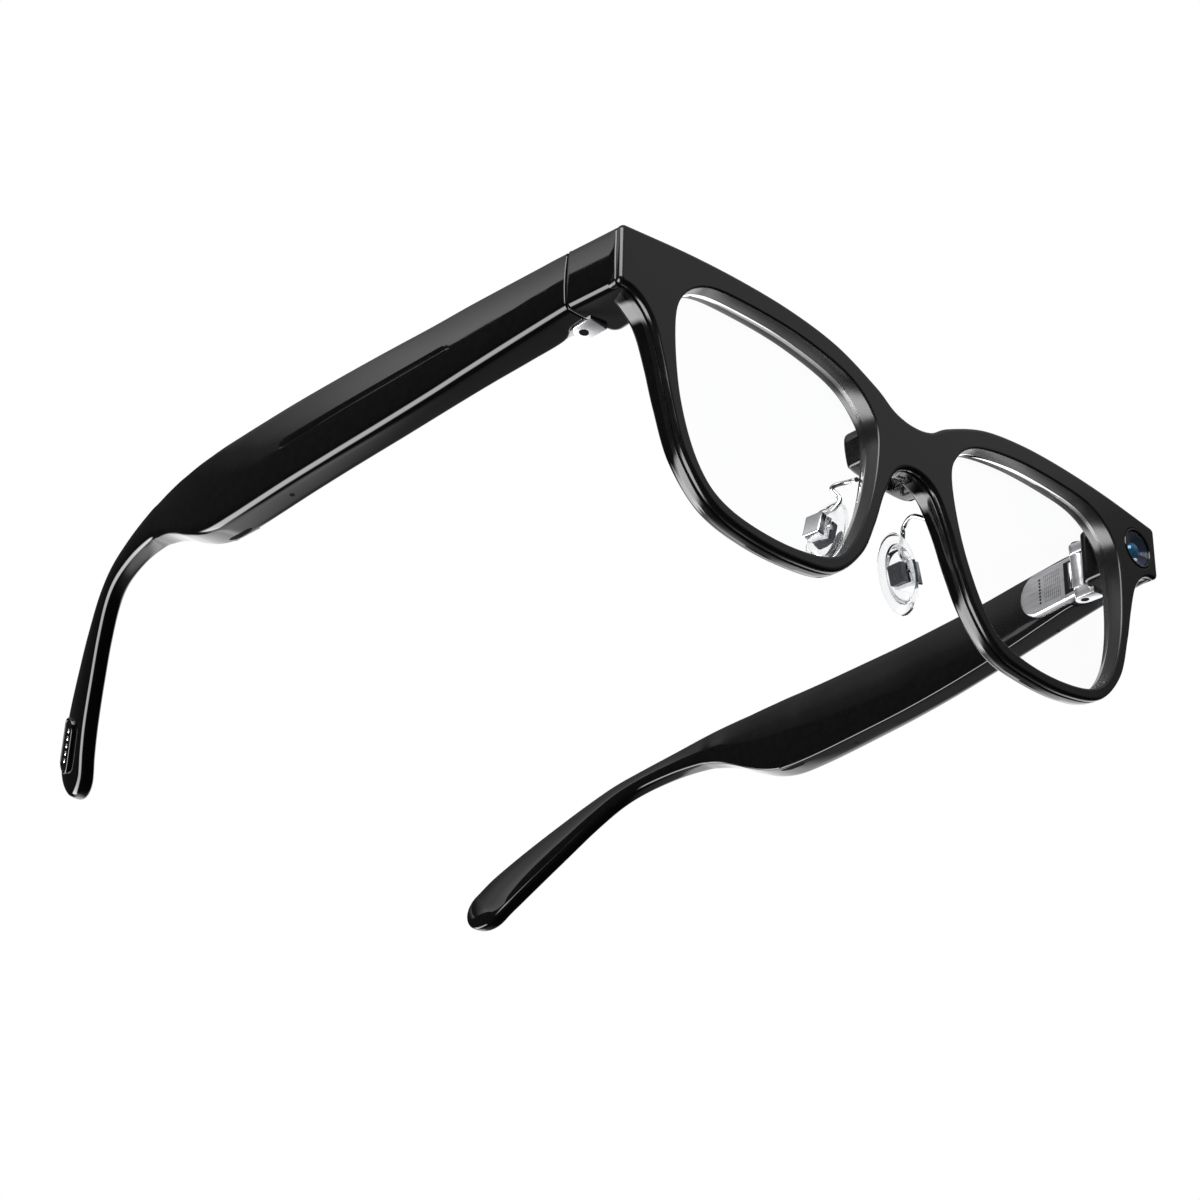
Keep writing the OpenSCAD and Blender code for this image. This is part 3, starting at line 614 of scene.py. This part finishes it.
arm = dict(
    rows=[  # back, up, half height, outer side, thickness
        [12.35, -6.13, 5.78, 74.46, 4.96], [15.5, -6.35, 5.95, 74.8, 5.35], [18.5, -6.6, 6.1, 75.1, 7.1],
        [26, -7.17, 6.47, 75.85, 7.05], [35, -7.87, 6.92, 76.72, 6.7], [44, -8.66, 7.3, 77.55, 6.5],
        [56, -9.5, 7.8, 78.7, 6.6], [68, -10.2, 8.15, 79.7, 6.75], [80, -10.75, 8.45, 80.4, 6.95],
        [90, -11.25, 8.67, 80.8, 7.1], [97, -11.5, 8.78, 80.95, 7.15], [102, -11.55, 8.75, 81, 7.2],
        [106, -11.35, 8.4, 80.95, 7.15], [110, -10.85, 7.75, 80.85, 7.05], [114, -10.1, 6.8, 80.6, 6.8],
        [118, -9.15, 5.75, 80.25, 6.45], [122, -8.4, 4.8, 79.75, 6.0], [126, -8.05, 4.05, 79.2, 5.65],
        [130, -8.0, 3.5, 78.7, 5.3], [138, -8.8, 2.85, 77.4, 4.8], [147, -10.6, 2.6, 75.5, 4.5],
        [154, -13.3, 2.85, 73.3, 4.5], [161, -17.9, 3.5, 70.5, 4.6], [168, -23.5, 4.35, 67.4, 4.8],
        [175, -29.5, 5.1, 64.1, 5.0], [180, -34.3, 5.65, 61.4, 5.0], [183, -37.8, 5.8, 59.6, 5.0]],
    spanSteps=9, capRadius=5.8, crown=(0.42, 0.28, 0.06, 0.55), tipCrown=(0.8, 0.8), draftEnd=0.2,
    outerBottom=[[12, 1.5], [30, 1.75], [100, 1.75], [112, 1.5], [126, 1.1], [150, 0.95], [190, 1.2]],
    outerTop=[[12, 0.6], [100, 0.7], [130, 0.8], [150, 0.9], [190, 1.3]],
    innerTop=[[12, 0.45], [100, 0.55], [130, 0.7], [150, 0.8], [190, 1.2]],
    innerBottom=[[12, 0.45], [100, 0.5], [130, 0.55], [150, 0.65], [190, 1.0]],
    groove=(41, 82), grooveHeights=(-8.3, -11.2), grooveDepth=0.14, grooveEnds=(20, 110, 12),
    tipFrom=118, tipFade=50, capLean=0.8,
    lead=[[0.0, 0.5], [0.03, 0.33], [0.1, 0.19], [0.2, 0.1], [0.32, 0.03]])      # ahead, shrunk by


def armStations():
    # Smooth rows along the arm, with the direction of the middle line in the side view
    rows = curveThrough(arm["rows"], arm["spanSteps"])
    step = np.gradient(rows[:, :2], axis=0)
    bend = np.clip((rows[:, 0] - 112) / 20, 0, 1)      # the box stays upright, the tip turns
    return rows, np.arctan2(step[:, 1], step[:, 0]) * bend


def armRings(side):
    # Section at every station, set square to the middle line; the front edge and the end are rounded
    rows, turn = armStations()
    y, z, b, out, thick = rows.T
    a = thick / 2
    y0, y1 = arm["groove"]
    on = np.interp(y, [y0 - 0.4, y0, y1, y1 + 0.4], [0, 1, 1, 0]) * arm["grooveDepth"] * (side < 0)
    start, end, fade = arm["grooveEnds"]
    at = np.where((y > start) & (y < end), np.interp(y, arm["groove"], arm["grooveHeights"]) - z, 0)
    at *= np.clip((y - start) / fade, 0, 1) * np.clip((end - y) / fade, 0, 1)
    radii = [spread(arm[k], y) for k in ("outerBottom", "outerTop", "innerTop", "innerBottom")]
    radii = [np.minimum(q, np.minimum(a, b) * 0.8) for q in radii]
    far = np.clip((y - arm["tipFrom"]) / arm["tipFade"], 0, 1)[:, None]
    bow = [k * (1 - far) + end * far for k, end in zip(arm["crown"], arm["tipCrown"])]
    draft = arm["crown"][3] * (1 - far) + arm["draftEnd"] * far
    stations = []      # section, middle across, back, up, tilt
    for ahead, inset in arm["lead"]:
        edges = [np.maximum(q[:1] - inset, 0.08) for q in radii]
        section = boxSection(a[:1] - inset, b[:1] - inset, edges, arm["crown"])
        stations.append((section, out[:1] - a[:1], y[:1] + ahead, z[:1], 0 * turn[:1]))
    section = boxSection(a, b, radii, (*bow, arm["crown"][2], draft), at, on)
    stations.append((section, out - a, y, z, turn))
    # Past the last station the sections shrink as a half circle
    cap = np.radians([10, 20, 30, 40, 50, 60, 68, 75, 81, 86])
    ahead = arm["capRadius"] * np.sin(cap)
    capA, capB = a[-1] * np.cos(cap) ** 0.55, b[-1] * np.cos(cap)
    edges = [np.minimum(np.full(len(cap), q[-1]), np.minimum(capA, capB) * 0.9) for q in radii]
    k = (capB / b[-1])[:, None]
    section = boxSection(capA, capB, edges, (bow[0][-1] * k, bow[1][-1] * k, 0.05, draft[-1] * k))
    slope = (out[-1] - out[-6]) / np.hypot(y[-1] - y[-6], z[-1] - z[-6])
    middle = out[-1] - a[-1] + slope * ahead * arm["capLean"]
    stations.append((section, middle, y[-1] + ahead * np.cos(turn[-1]), z[-1] + ahead * np.sin(turn[-1]),
                     np.full(len(cap), turn[-1])))
    section, middle, back, up, tilt = (np.concatenate(q) for q in zip(*stations))
    x = middle[:, None] + section[..., 0]
    y = back[:, None] - section[..., 1] * np.sin(tilt)[:, None]
    z = up[:, None] + section[..., 1] * np.cos(tilt)[:, None]
    return mirrored(np.stack([x, y, z], -1), side)


for side, word in sides:
    addPiece(word + "ArmBody", [loft(armRings(side))], word + "_arm", "polishedBlack",
             [word + "_arm_shell", word + "_arm_tip", word + "_arm_cover"], sharp=60)

# Openings in the lower face, drawn as black discs and a black strip that paint the shade inside them:
# microphones as (across, back, radius), and a slot for sound
opening = dict(mics=((76.6, 83.4, 0.5), (73.5, 25.6, 0.45)), proud=0.04, deep=0.3, slot=(97.6, 104.9),
               slotX=75.3, slotHalf=0.5, slotReach=3.66, slotProud=0.07, slotDeep=0.4)


def armMarks(side):
    # Black discs sunk into the lower face, standing a hair proud of it, and a slot that is a long rounded
    # black strip: painted shade for the holes; the second disc is left only
    q, parts = opening, []
    rows = np.array(arm["rows"])
    low = rows[:, 1] - rows[:, 2]
    for x, y, radius in q["mics"][:1 + (side > 0)]:
        disc = [(0, -q["proud"]), (radius, -q["proud"]), (radius, q["deep"]), (0, q["deep"])]
        parts += onSide(lathe(disc, (x, y, float(np.interp(y, rows[:, 0], low))), 24, "z"), side)
    y = np.linspace(*q["slot"], 15)
    half = q["slotHalf"] * (1 - np.abs((y - y.mean()) / q["slotReach"]) ** 6) + 0.02
    z = np.interp(y, rows[:, 0], low) - q["slotProud"]
    walls = ((-1, 0), (1, 0), (1, q["slotDeep"]), (-1, q["slotDeep"]))
    slot = loft(np.stack([np.stack([q["slotX"] + a * half, y, z + b], -1) for a, b in walls], 1))
    return parts + onSide(slot, side)


for side, word in sides:
    addPiece(word + "ArmMarks", armMarks(side), word + "_arm", "holeBlack")
print("arms made")


def turnAbout(points, centre, angle, axis):
    # Turns points about an axis through a centre, by the angle in degrees
    m = np.array(Matrix.Rotation(np.radians(angle), 3, axis))
    return (np.asarray(points) - centre) @ m.T + centre


def roundedPlate(loop, x0, x1, edge, steps=7):
    # Outline in (back, up) thickened across, with both faces' edges rounded
    a = np.radians(np.linspace(90, 0, steps))
    first = [(edge - edge * np.cos(t), x0 + edge - edge * np.sin(t)) for t in a]
    last = [(edge - edge * np.cos(t), x1 - edge + edge * np.sin(t)) for t in a[::-1]]
    y, z, x = carry(loop, [(edge + 0.1, x0)] + first + last + [(edge + 0.1, x1)])
    return loft(np.stack([x, y, z], -1))


def leafLoop(start, middle, radius, rear):
    # Plate outline: square in front, half round behind
    a = np.radians(np.linspace(-90, 90, 25))
    end = np.stack([rear + radius * np.cos(a), middle + radius * np.sin(a)], -1)
    upper, lower = np.array([[start, middle + radius], [start, middle - radius]])
    return np.vstack([end, np.linspace(end[-1], upper, 6)[1:-1], np.linspace(upper, lower, 6),
                      np.linspace(lower, end[0], 6)[1:-1]])


hinge = dict(x=67.2, y=14.4, z=-6.6, lean=6, leafTurn=-7.6, leafCentre=(67.5, 17.5, 0), lugRadius=1.9,
             lugFront=-3.6, lugs=((-5.98, -3.72), (3.72, 5.86)),
             knuckle=[(0.84, -3.66), (1.7, -3.66), (1.9, -3.5), (1.9, 3.5), (1.7, 3.66), (0.84, 3.66),
                      (0.84, 3.0), (0.84, -3.0), (0.84, -3.66)],
             recess=[(0, -6.02), (0.85, -6.02), (0.85, -5.8), (0, -5.8)])
leaf = dict(front=13.3, mid=-6.8, half=4.7, rear=26.4, thick=(66.75, 69.2), edge=0.6, dots=8, dotSpan=2.6,
            dotY=25.2, slot=(14.7, 18.4), slotHalf=3.6, grid=(19.6, 23.9), uprights=9, uprightHalf=3.0,
            levels=7, levelSpan=2.9,
            barrel=[(0, -2.9), (0.5, -2.9), (0.55, -2.8), (0.55, 2.8), (0.5, 2.9), (0, 2.9)])


def atLeaf(points):
    # Turns a piece drawn flat against the plate onto the splayed arm
    return turnAbout(points, hinge["leafCentre"], hinge["leafTurn"], "Z")


def leafBox(y0, y1, z0, z1, proud, deep, edge=0.05):
    # Small block in the plate, from its place back and up; it stands proud of the face and goes deep
    face = leaf["thick"][0]
    return roundedBox((face - proud, y0, leaf["mid"] + z0), (face + deep, y1, leaf["mid"] + z1), edge, 3)


def hingePoint(points):
    # Moves a piece drawn on the pin's axis to the leaning hinge
    leaning = turnAbout(points, (0, 0, 0), -hinge["lean"], "Y")
    return leaning + np.array([hinge["x"], hinge["y"], hinge["z"]])


def leafParts(side):
    # Plate on the arm's inner face, and the knuckle round the pin
    q = leaf
    loop = leafLoop(q["front"], q["mid"], q["half"], q["rear"])
    plate = roundedPlate(loop, *q["thick"], q["edge"])
    knuckle = lathe(hinge["knuckle"], (0, 0, 0), 40, "z")
    return onSide(plate, side, atLeaf) + onSide(knuckle, side, hingePoint)


def leafMarks(side):
    # Row of black dots near the round end, and the dark slot: painted shade for small recesses and for the
    # slot
    q, parts = leaf, []
    disc, faces = lathe([(0, -0.03), (0.26, -0.03), (0.26, 0.1), (0, 0.1)], (0, 0, 0), 16, "z")
    disc = turnAbout(disc, (0, 0, 0), 90, "Y")
    for z in np.linspace(-q["dotSpan"], q["dotSpan"], q["dots"]):
        parts += onSide((disc + np.array([q["thick"][0], q["dotY"], q["mid"] + z]), faces), side, atLeaf)
    return parts + onSide(leafBox(*q["slot"], -q["slotHalf"], q["slotHalf"], 0.02, 0.2), side, atLeaf)


def leafGrid(side):
    # Fine upright and lengthwise lines standing a hair proud of the plate
    q = leaf
    uprights = [leafBox(y - 0.07, y + 0.07, -q["uprightHalf"], q["uprightHalf"], 0.015, 0.1, 0.01)
                for y in np.linspace(*q["grid"], q["uprights"])]
    levels = [leafBox(*q["grid"], z - 0.04, z + 0.04, 0.01, 0.1, 0.01)
              for z in np.linspace(-q["levelSpan"], q["levelSpan"], q["levels"])]
    return [part for shape in uprights + levels for part in onSide(shape, side, atLeaf)]


def bracketParts(side):
    # Two lugs that hold the pin, each a half-round outline with rounded faces, running into the corner block
    q, parts = hinge, []
    a = np.radians(np.linspace(0, 180, 21))
    end = np.stack([q["lugRadius"] * np.cos(a), q["lugRadius"] * np.sin(a)], -1)
    loop = np.vstack([end, [[-q["lugRadius"], q["lugFront"]], [q["lugRadius"], q["lugFront"]]]])
    for z0, z1 in q["lugs"]:
        rows = [(0.12, z0), (0.03, z0 + 0.04), (0, z0 + 0.14), (0, z1 - 0.14), (0.03, z1 - 0.04), (0.12, z1)]
        parts += onSide(loft(np.stack(carry(loop, rows), -1)), side, hingePoint)
    return parts


for side, word in sides:
    body = word + "_arm"
    addPiece(word + "HingeLeaf", leafParts(side), body, "satinSteel", [word + "_hinge_leaf"],
             sharp=50)
    addPiece(word + "LeafMarks", leafMarks(side), body, "holeBlack")
    addPiece(word + "LeafGrid", leafGrid(side), body, "lineSteel")
    slotMiddle = (leaf["thick"][0] + 0.1, sum(leaf["slot"]) / 2, leaf["mid"])
    addPiece(word + "LeafBarrel", onSide(lathe(leaf["barrel"], slotMiddle, 24, "z"), side, atLeaf), body,
             "brightSteel")
    addPiece(word + "HingeBracket", bracketParts(side), "front", "satinSteel",
             [word + "_hinge_bracket"], sharp=50)
    # A black disc at the end of the pin paints the shade in its recess
    recess = lathe(hinge["recess"], (0, 0, 0), 32, "z")
    addPiece(word + "PinRecess", onSide(recess, side, hingePoint), "front", "holeBlack")
print("hinges made")

pad = dict(middle=(10.5, 13.4, -29), lean=-14, turn=-3, length=16, width=9, wire=0.45,
           route=[[10.9, 5.1, -21.3], [8.7, 8.4, -19.4], [9.9, 11.8, -19.8], [8.7, 11.1, -22.2],
                  [10.4, 12.6, -25.2], [12.6, 12.5, -26.6]],
           profile=[(0.05, -2.5), (0.3, -2.45), (0.55, -2.3), (0.75, -2.05), (0.88, -1.75), (0.96, -1.4),
                    (1.0, -0.95), (0.99, -0.6), (0.95, -0.35), (0.86, -0.25), (0.74, -0.2), (0.68, 0.0),
                    (0.65, 0.5), (0.62, 1.3), (0.56, 1.75), (0.46, 1.95), (0.3, 2.0), (0.05, 2.0)],
           box=((0.6, -1.9, -2.3), (3.5, 1.9, 2.3), 0.32),
           core=((-1.3, -1.65, -1.95), (0.4, 1.65, 1.95), 0.35))


def atPad(points):
    # Turns a piece drawn round the pad's middle to face the nose
    q = turnAbout(points, (0, 0, 0), pad["turn"], "Z")
    return turnAbout(q, (0, 0, 0), pad["lean"], "Y") + np.array(pad["middle"])


def cushionShape():
    # Oval rings by rows of (share of the size, depth): a dome towards the nose, a lip, a shallow ring behind
    a = np.linspace(0, 2 * np.pi, 72, endpoint=False)
    y, z = pad["width"] / 2 * np.cos(a), pad["length"] / 2 * np.sin(a)
    return loft([np.stack([np.full(len(a), depth), share * y, share * z], -1)
                 for share, depth in pad["profile"]])


for side, word in sides:
    wire = tube(curveThrough(pad["route"], 14), pad["wire"])
    addPiece(word + "PadWire", onSide(wire, side), "front", "brightSteel", [word + "_pad_arm"])
    addPiece(word + "PadBox", onSide(roundedBox(*pad["box"]), side, atPad), "front", "brightSteel",
             [word + "_pad_box"])
    addPiece(word + "PadCore", onSide(roundedBox(*pad["core"]), side, atPad), word + "_pad", "darkSteel",
             [word + "_pad_core"])
    addPiece(word + "NosePad", onSide(cushionShape(), side, atPad), word + "_pad", "clearSilicone",
             [word + "_nose_pad"], sharp=80)
print("nose pads made")

charge = dict(middle=(-61.2, 180.6, -34.2), turns=((-90, "Y"), (-21.3, "Z"), (-44, "X")), length=12.8,
              width=4.8, contacts=(-2, -1, 0, 1, 2), pitch=1.75,
              rim=[(0, -1.6), (0, 0.35), (0.06, 0.6), (0.2, 0.75), (0.4, 0.8), (0.52, 0.74), (0.6, 0.62),
                   (0.9, 0.6), (1.6, 0.6)],
              contact=[(0, 0.2), (0.5, 0.2), (0.5, 0.66), (0.42, 0.74), (0.25, 0.8), (0, 0.82)])
button = dict(x=72.7, y=31, length=9.0, width=2.6,
              rim=[(0.0, -2.1), (0, -0.45), (0.08, -0.3), (0.25, -0.22), (0.5, -0.2), (0.9, -0.2)])


def atCharge(points):
    # Lays a piece drawn flat onto the outer face of the tip
    q = np.asarray(points, float)
    for angle, axis in charge["turns"]:
        q = turnAbout(q, (0, 0, 0), angle, axis)
    return q + np.array(charge["middle"])


def ovalShape(length, width, profile, steps=24):
    # Stadium outline carried down a profile of (inset, height)
    a = np.radians(np.linspace(0, 180, steps))
    radius = width / 2
    upper = np.stack([radius * np.cos(a), (length - width) / 2 + radius * np.sin(a)], -1)
    return loft(np.stack(carry(np.vstack([upper, -upper]), profile), -1))


rim = ovalShape(charge["length"], charge["width"], charge["rim"])
addPiece("chargingPad", onSide(rim, 1, atCharge), "right_arm", "polishedBlack", ["charging_pad"],
         sharp=50)
dots = [lathe(charge["contact"], (0, k * charge["pitch"], 0), 24, "z") for k in charge["contacts"]]
addPiece("chargingContacts", [part for dot in dots for part in onSide(dot, 1, atCharge)], "right_arm",
         "brightSteel", ["charging_contacts"])
cap, faces = ovalShape(button["length"], button["width"], button["rim"])
addPiece("captureButton", onSide((cap + np.array([button["x"], button["y"], 0]), faces), -1), "button",
         "satinBlack", ["capture_button"], sharp=50)

# CAD nodes that stay as they are, with their finish
kept = {
    "satinSteel": ["board_shield", "left_arm_mic", "right_arm_mic",
                   "voice_mic", "button_switch", "left_tip_core", "right_tip_core"],
    "darkSteel": ["left_hinge_pin", "right_hinge_pin"],
    "brightSteel": ["bracket_screws", "left_pad_screw", "right_pad_screw"],
    "boardGreen": ["camera_sensor", "main_board", "side_board"],
    "amberFilm": ["frame_flex", "touch_sensor", "wifi_antenna"],
    "batteryFoil": ["left_battery", "right_battery"],
    "meshBlack": ["left_speaker_mesh", "right_speaker_mesh"],
    "holeBlack": ["left_speaker", "right_speaker"],
    "ledWhite": ["privacy_led"],
}
for word, names in kept.items():
    for name in names:
        node = frame["nodes"][name]
        node.data.materials.clear()
        node.data.materials.append(finish[word])
print("kept nodes finished")

ground = dict(radius=4, drop=0.0002, colour=0.82, rough=0.9, fade=(0.22, 0.6))      # metres


def makeFloor():
    # Pale disc under the object that fades into white far out, and is clear from below
    bpy.ops.mesh.primitive_circle_add(vertices=96, radius=ground["radius"], fill_type="NGON",
                                      location=(0, 0, -ground["drop"]))
    floor = bpy.context.object
    floor.name = "floor"
    material = bpy.data.materials.new("paleFloor")
    material.use_nodes = True
    tree = material.node_tree
    pale = setInputs(tree.nodes["Principled BSDF"],
                     {"Base Color": (*[ground["colour"]] * 3, 1), "Roughness": ground["rough"]})
    coords = addNode(tree, "TexCoord").outputs["Object"]
    far = addNode(tree, "VectorMath", {0: coords}, operation="LENGTH").outputs["Value"]
    near, white = ground["fade"]
    fade = addNode(tree, "MapRange", {"Value": far, "From Min": near, "From Max": white},
                   interpolation_type="SMOOTHSTEP")
    above = addNode(tree, "MixShader", {"Fac": fade.outputs["Result"], 1: pale.outputs["BSDF"],
                                        2: addNode(tree, "Emission").outputs["Emission"]})
    below = addNode(tree, "BsdfTransparent")
    mix = addNode(tree, "MixShader", {"Fac": addNode(tree, "NewGeometry").outputs["Backfacing"],
                                      1: above.outputs["Shader"], 2: below.outputs["BSDF"]})
    setInputs(tree.nodes["Material Output"], {"Surface": mix.outputs["Shader"]})
    floor.data.materials.append(material)
    floor.visible_glossy = floor.visible_diffuse = floor.visible_shadow = floor.visible_transmission = False


makeFloor()

# Softboxes far off, each as: azimuth, elevation, half width, half height (tangents), edge softness,
# brightness at its lower and at its upper edge
softBoxes = [
    dict(az=135, el=-35, w=0.75, h=0.26, edge=0.1, low=9, high=9),          # strip along the lower edges
    dict(az=222, el=35, w=0.55, h=0.3, edge=0.08, low=7, high=7),           # front corner
    dict(az=43, el=4, w=0.6, h=0.62, edge=0.08, low=1.8, high=1.4),         # inner walls of the rims
    dict(az=77, el=-36, w=0.36, h=0.22, edge=0.08, low=1.0, high=1.2),      # their slanted stretches
    dict(az=46, el=-42, w=0.5, h=0.25, edge=0.15, low=0.12, high=0.25),     # lower faces of the arms
    dict(az=312, el=30, w=0.7, h=0.55, edge=0.3, low=0.08, high=0.14),       # front face
]


def makeWorld():
    # White behind the object; reflections see a dark room with the softboxes, each a rectangle in the
    # tangents of the angles from its middle, with soft edges
    world = bpy.data.worlds.new("studio")
    bpy.context.scene.world = world
    world.use_nodes = True
    tree = world.node_tree
    tree.nodes.clear()
    direction = addNode(tree, "TexCoord").outputs["Generated"]

    def math(operation, *values):
        return addNode(tree, "Math", dict(enumerate(values)), operation=operation).outputs[0]

    def along(axis):
        return addNode(tree, "VectorMath", {0: direction, 1: axis}, operation="DOT_PRODUCT").outputs["Value"]

    def scaled(value, low, high, toLow=0, toHigh=1, curve="SMOOTHSTEP"):
        values = {"Value": value, "From Min": low, "From Max": high, "To Min": toLow, "To Max": toHigh}
        return addNode(tree, "MapRange", values, interpolation_type=curve).outputs["Result"]

    total = math("MULTIPLY_ADD", scaled(along((0, 0, 1)), -0.2, 1.0), 0.04, 0.02)      # the dark room
    for q in softBoxes:
        az, el = np.radians(q["az"]), np.radians(q["el"])
        middle = along((np.cos(az) * np.cos(el), np.sin(az) * np.cos(el), np.sin(el)))
        right = along((-np.sin(az), np.cos(az), 0))
        up = along((-np.cos(az) * np.sin(el), -np.sin(az) * np.sin(el), np.cos(el)))
        depth = math("MAXIMUM", middle, 0.001)
        u, v = math("DIVIDE", right, depth), math("DIVIDE", up, depth)
        inU = scaled(math("ABSOLUTE", u), q["w"] + q["edge"], q["w"] - q["edge"])
        inV = scaled(math("ABSOLUTE", v), q["h"] + q["edge"], q["h"] - q["edge"])
        level = scaled(v, -q["h"], q["h"], q["low"], q["high"], "LINEAR")
        lit = math("MULTIPLY", math("MULTIPLY", inU, inV), level)
        total = math("ADD", total, math("MULTIPLY", lit, math("GREATER_THAN", middle, 0.01)))
    path = addNode(tree, "LightPath").outputs
    seen = math("MAXIMUM", path["Is Camera Ray"], path["Is Transmission Ray"])
    dark = addNode(tree, "Background", {"Color": (1, 1, 1, 1), "Strength": total})
    white = addNode(tree, "Background", {"Color": (1, 1, 1, 1), "Strength": 1.0})
    mix = addNode(tree, "MixShader", {"Fac": seen, 1: dark.outputs[0], 2: white.outputs[0]})
    addNode(tree, "OutputWorld", {"Surface": mix.outputs[0]})


makeWorld()

# Lamps above, in metres. Stops are (place, share of the brightness), across and along the lamp.
overhead = dict(height=0.54, radiance=1.7,
                across=((-0.647, 1), (-0.46, 0.47), (-0.2, 0.2), (0.25, 0.15), (0.75, 0.12)))
overheads = dict(
    main=dict(front=-0.9, back=0.8, along=((-0.9, 1), (0.45, 1), (0.68, 0.08), (0.76, 0)), only=None),
    leftArm=dict(front=0.4, back=1.1, along=((0.42, 0), (0.68, 0.9), (0.8, 1), (0.96, 0.1), (1.08, 0)),
                 only="leftArmBody"))


def makeOverhead(name, o):
    # Long soft light above the arms, brightest along its right edge; one that names a piece lights only that
    across = overhead["across"]
    low, high = across[0][0], across[-1][0]
    lamp = bpy.data.lights.new(name, "AREA")
    lamp.shape, lamp.size, lamp.size_y = "RECTANGLE", high - low, o["back"] - o["front"]
    lamp.energy = overhead["radiance"] * np.pi * lamp.size * lamp.size_y
    lamp.use_nodes = True
    tree = lamp.node_tree
    split = addNode(tree, "SeparateXYZ", {0: addNode(tree, "NewGeometry").outputs["Parametric"]})
    spans = ((0, across, low, high, "Color"), (1, o["along"], o["front"], o["back"], "Strength"))
    for slot, stops, start, end, into in spans:
        ramp = addNode(tree, "ValToRGB", {"Fac": split.outputs[slot]})
        marks = ramp.color_ramp.elements
        while len(marks) < len(stops):
            marks.new(0.5)
        for mark, (at, level) in zip(marks, stops):
            mark.position = (at - start) / (end - start)
            mark.color = (level, level, level, 1)
        setInputs(tree.nodes["Emission"], {into: ramp.outputs["Color"]})
    box = bpy.data.objects.new(name, lamp)
    box.location = ((low + high) / 2, (o["front"] + o["back"]) / 2, overhead["height"])
    box.visible_camera = box.visible_transmission = False
    bpy.context.scene.collection.objects.link(box)
    if o["only"]:
        lit = bpy.data.collections.new(name + "Lit")
        lit.objects.link(bpy.data.objects[o["only"]])
        box.light_linking.receiver_collection = lit


for name, o in overheads.items():
    makeOverhead("overhead_" + name, o)

fill = dict(size=0.9, energy=6, location=(0.2, -0.3, 1.1))


def makeFill():
    # Dull disc from above, aimed at the object, for the floor and the rough finishes
    lamp = bpy.data.lights.new("fill", "AREA")
    lamp.shape, lamp.size, lamp.energy = "DISK", fill["size"], fill["energy"]
    box = bpy.data.objects.new("fill", lamp)
    box.location = fill["location"]
    box.rotation_euler = (-Vector(fill["location"])).to_track_quat("-Z", "Y").to_euler()
    box.visible_glossy = False
    bpy.context.scene.collection.objects.link(box)


makeFill()

view = dict(azimuth=-42.04, elevation=-27.51, roll=1.604, shift=(57.16, 38.15), distance=446.57,
            lens=73.524)


def makeCamera():
    # Looks along the fitted direction: right, up and back axes from azimuth, elevation and roll
    a, e, k = (np.radians(view[n]) for n in ("azimuth", "elevation", "roll"))
    back = np.array([np.sin(a) * np.cos(e), -np.cos(a) * np.cos(e), np.sin(e)])
    right = np.array([np.cos(a), np.sin(a), 0])
    up = np.cross(back, right)
    right, up = np.cos(k) * right + np.sin(k) * up, -np.sin(k) * right + np.cos(k) * up
    at = -view["shift"][0] * right - view["shift"][1] * up + view["distance"] * back
    p = place(np.array([at, at + right, at + up, at + back]))
    axes = [(q - p[0]) * 1000 for q in p[1:]]
    m = Matrix.Identity(4)
    for i, q in enumerate(axes):
        m.col[i][:3] = q.tolist()
    m.col[3][:3] = p[0].tolist()
    data = bpy.data.cameras.new("camera")
    data.lens, data.sensor_width, data.sensor_fit = view["lens"], 36, "HORIZONTAL"
    data.clip_start, data.clip_end = 0.01, 50
    camera = bpy.data.objects.new("camera", data)
    camera.matrix_world = m
    bpy.context.scene.collection.objects.link(camera)
    bpy.context.scene.camera = camera


makeCamera()
bpy.context.scene.view_settings.view_transform = "Standard"
print("stage made")
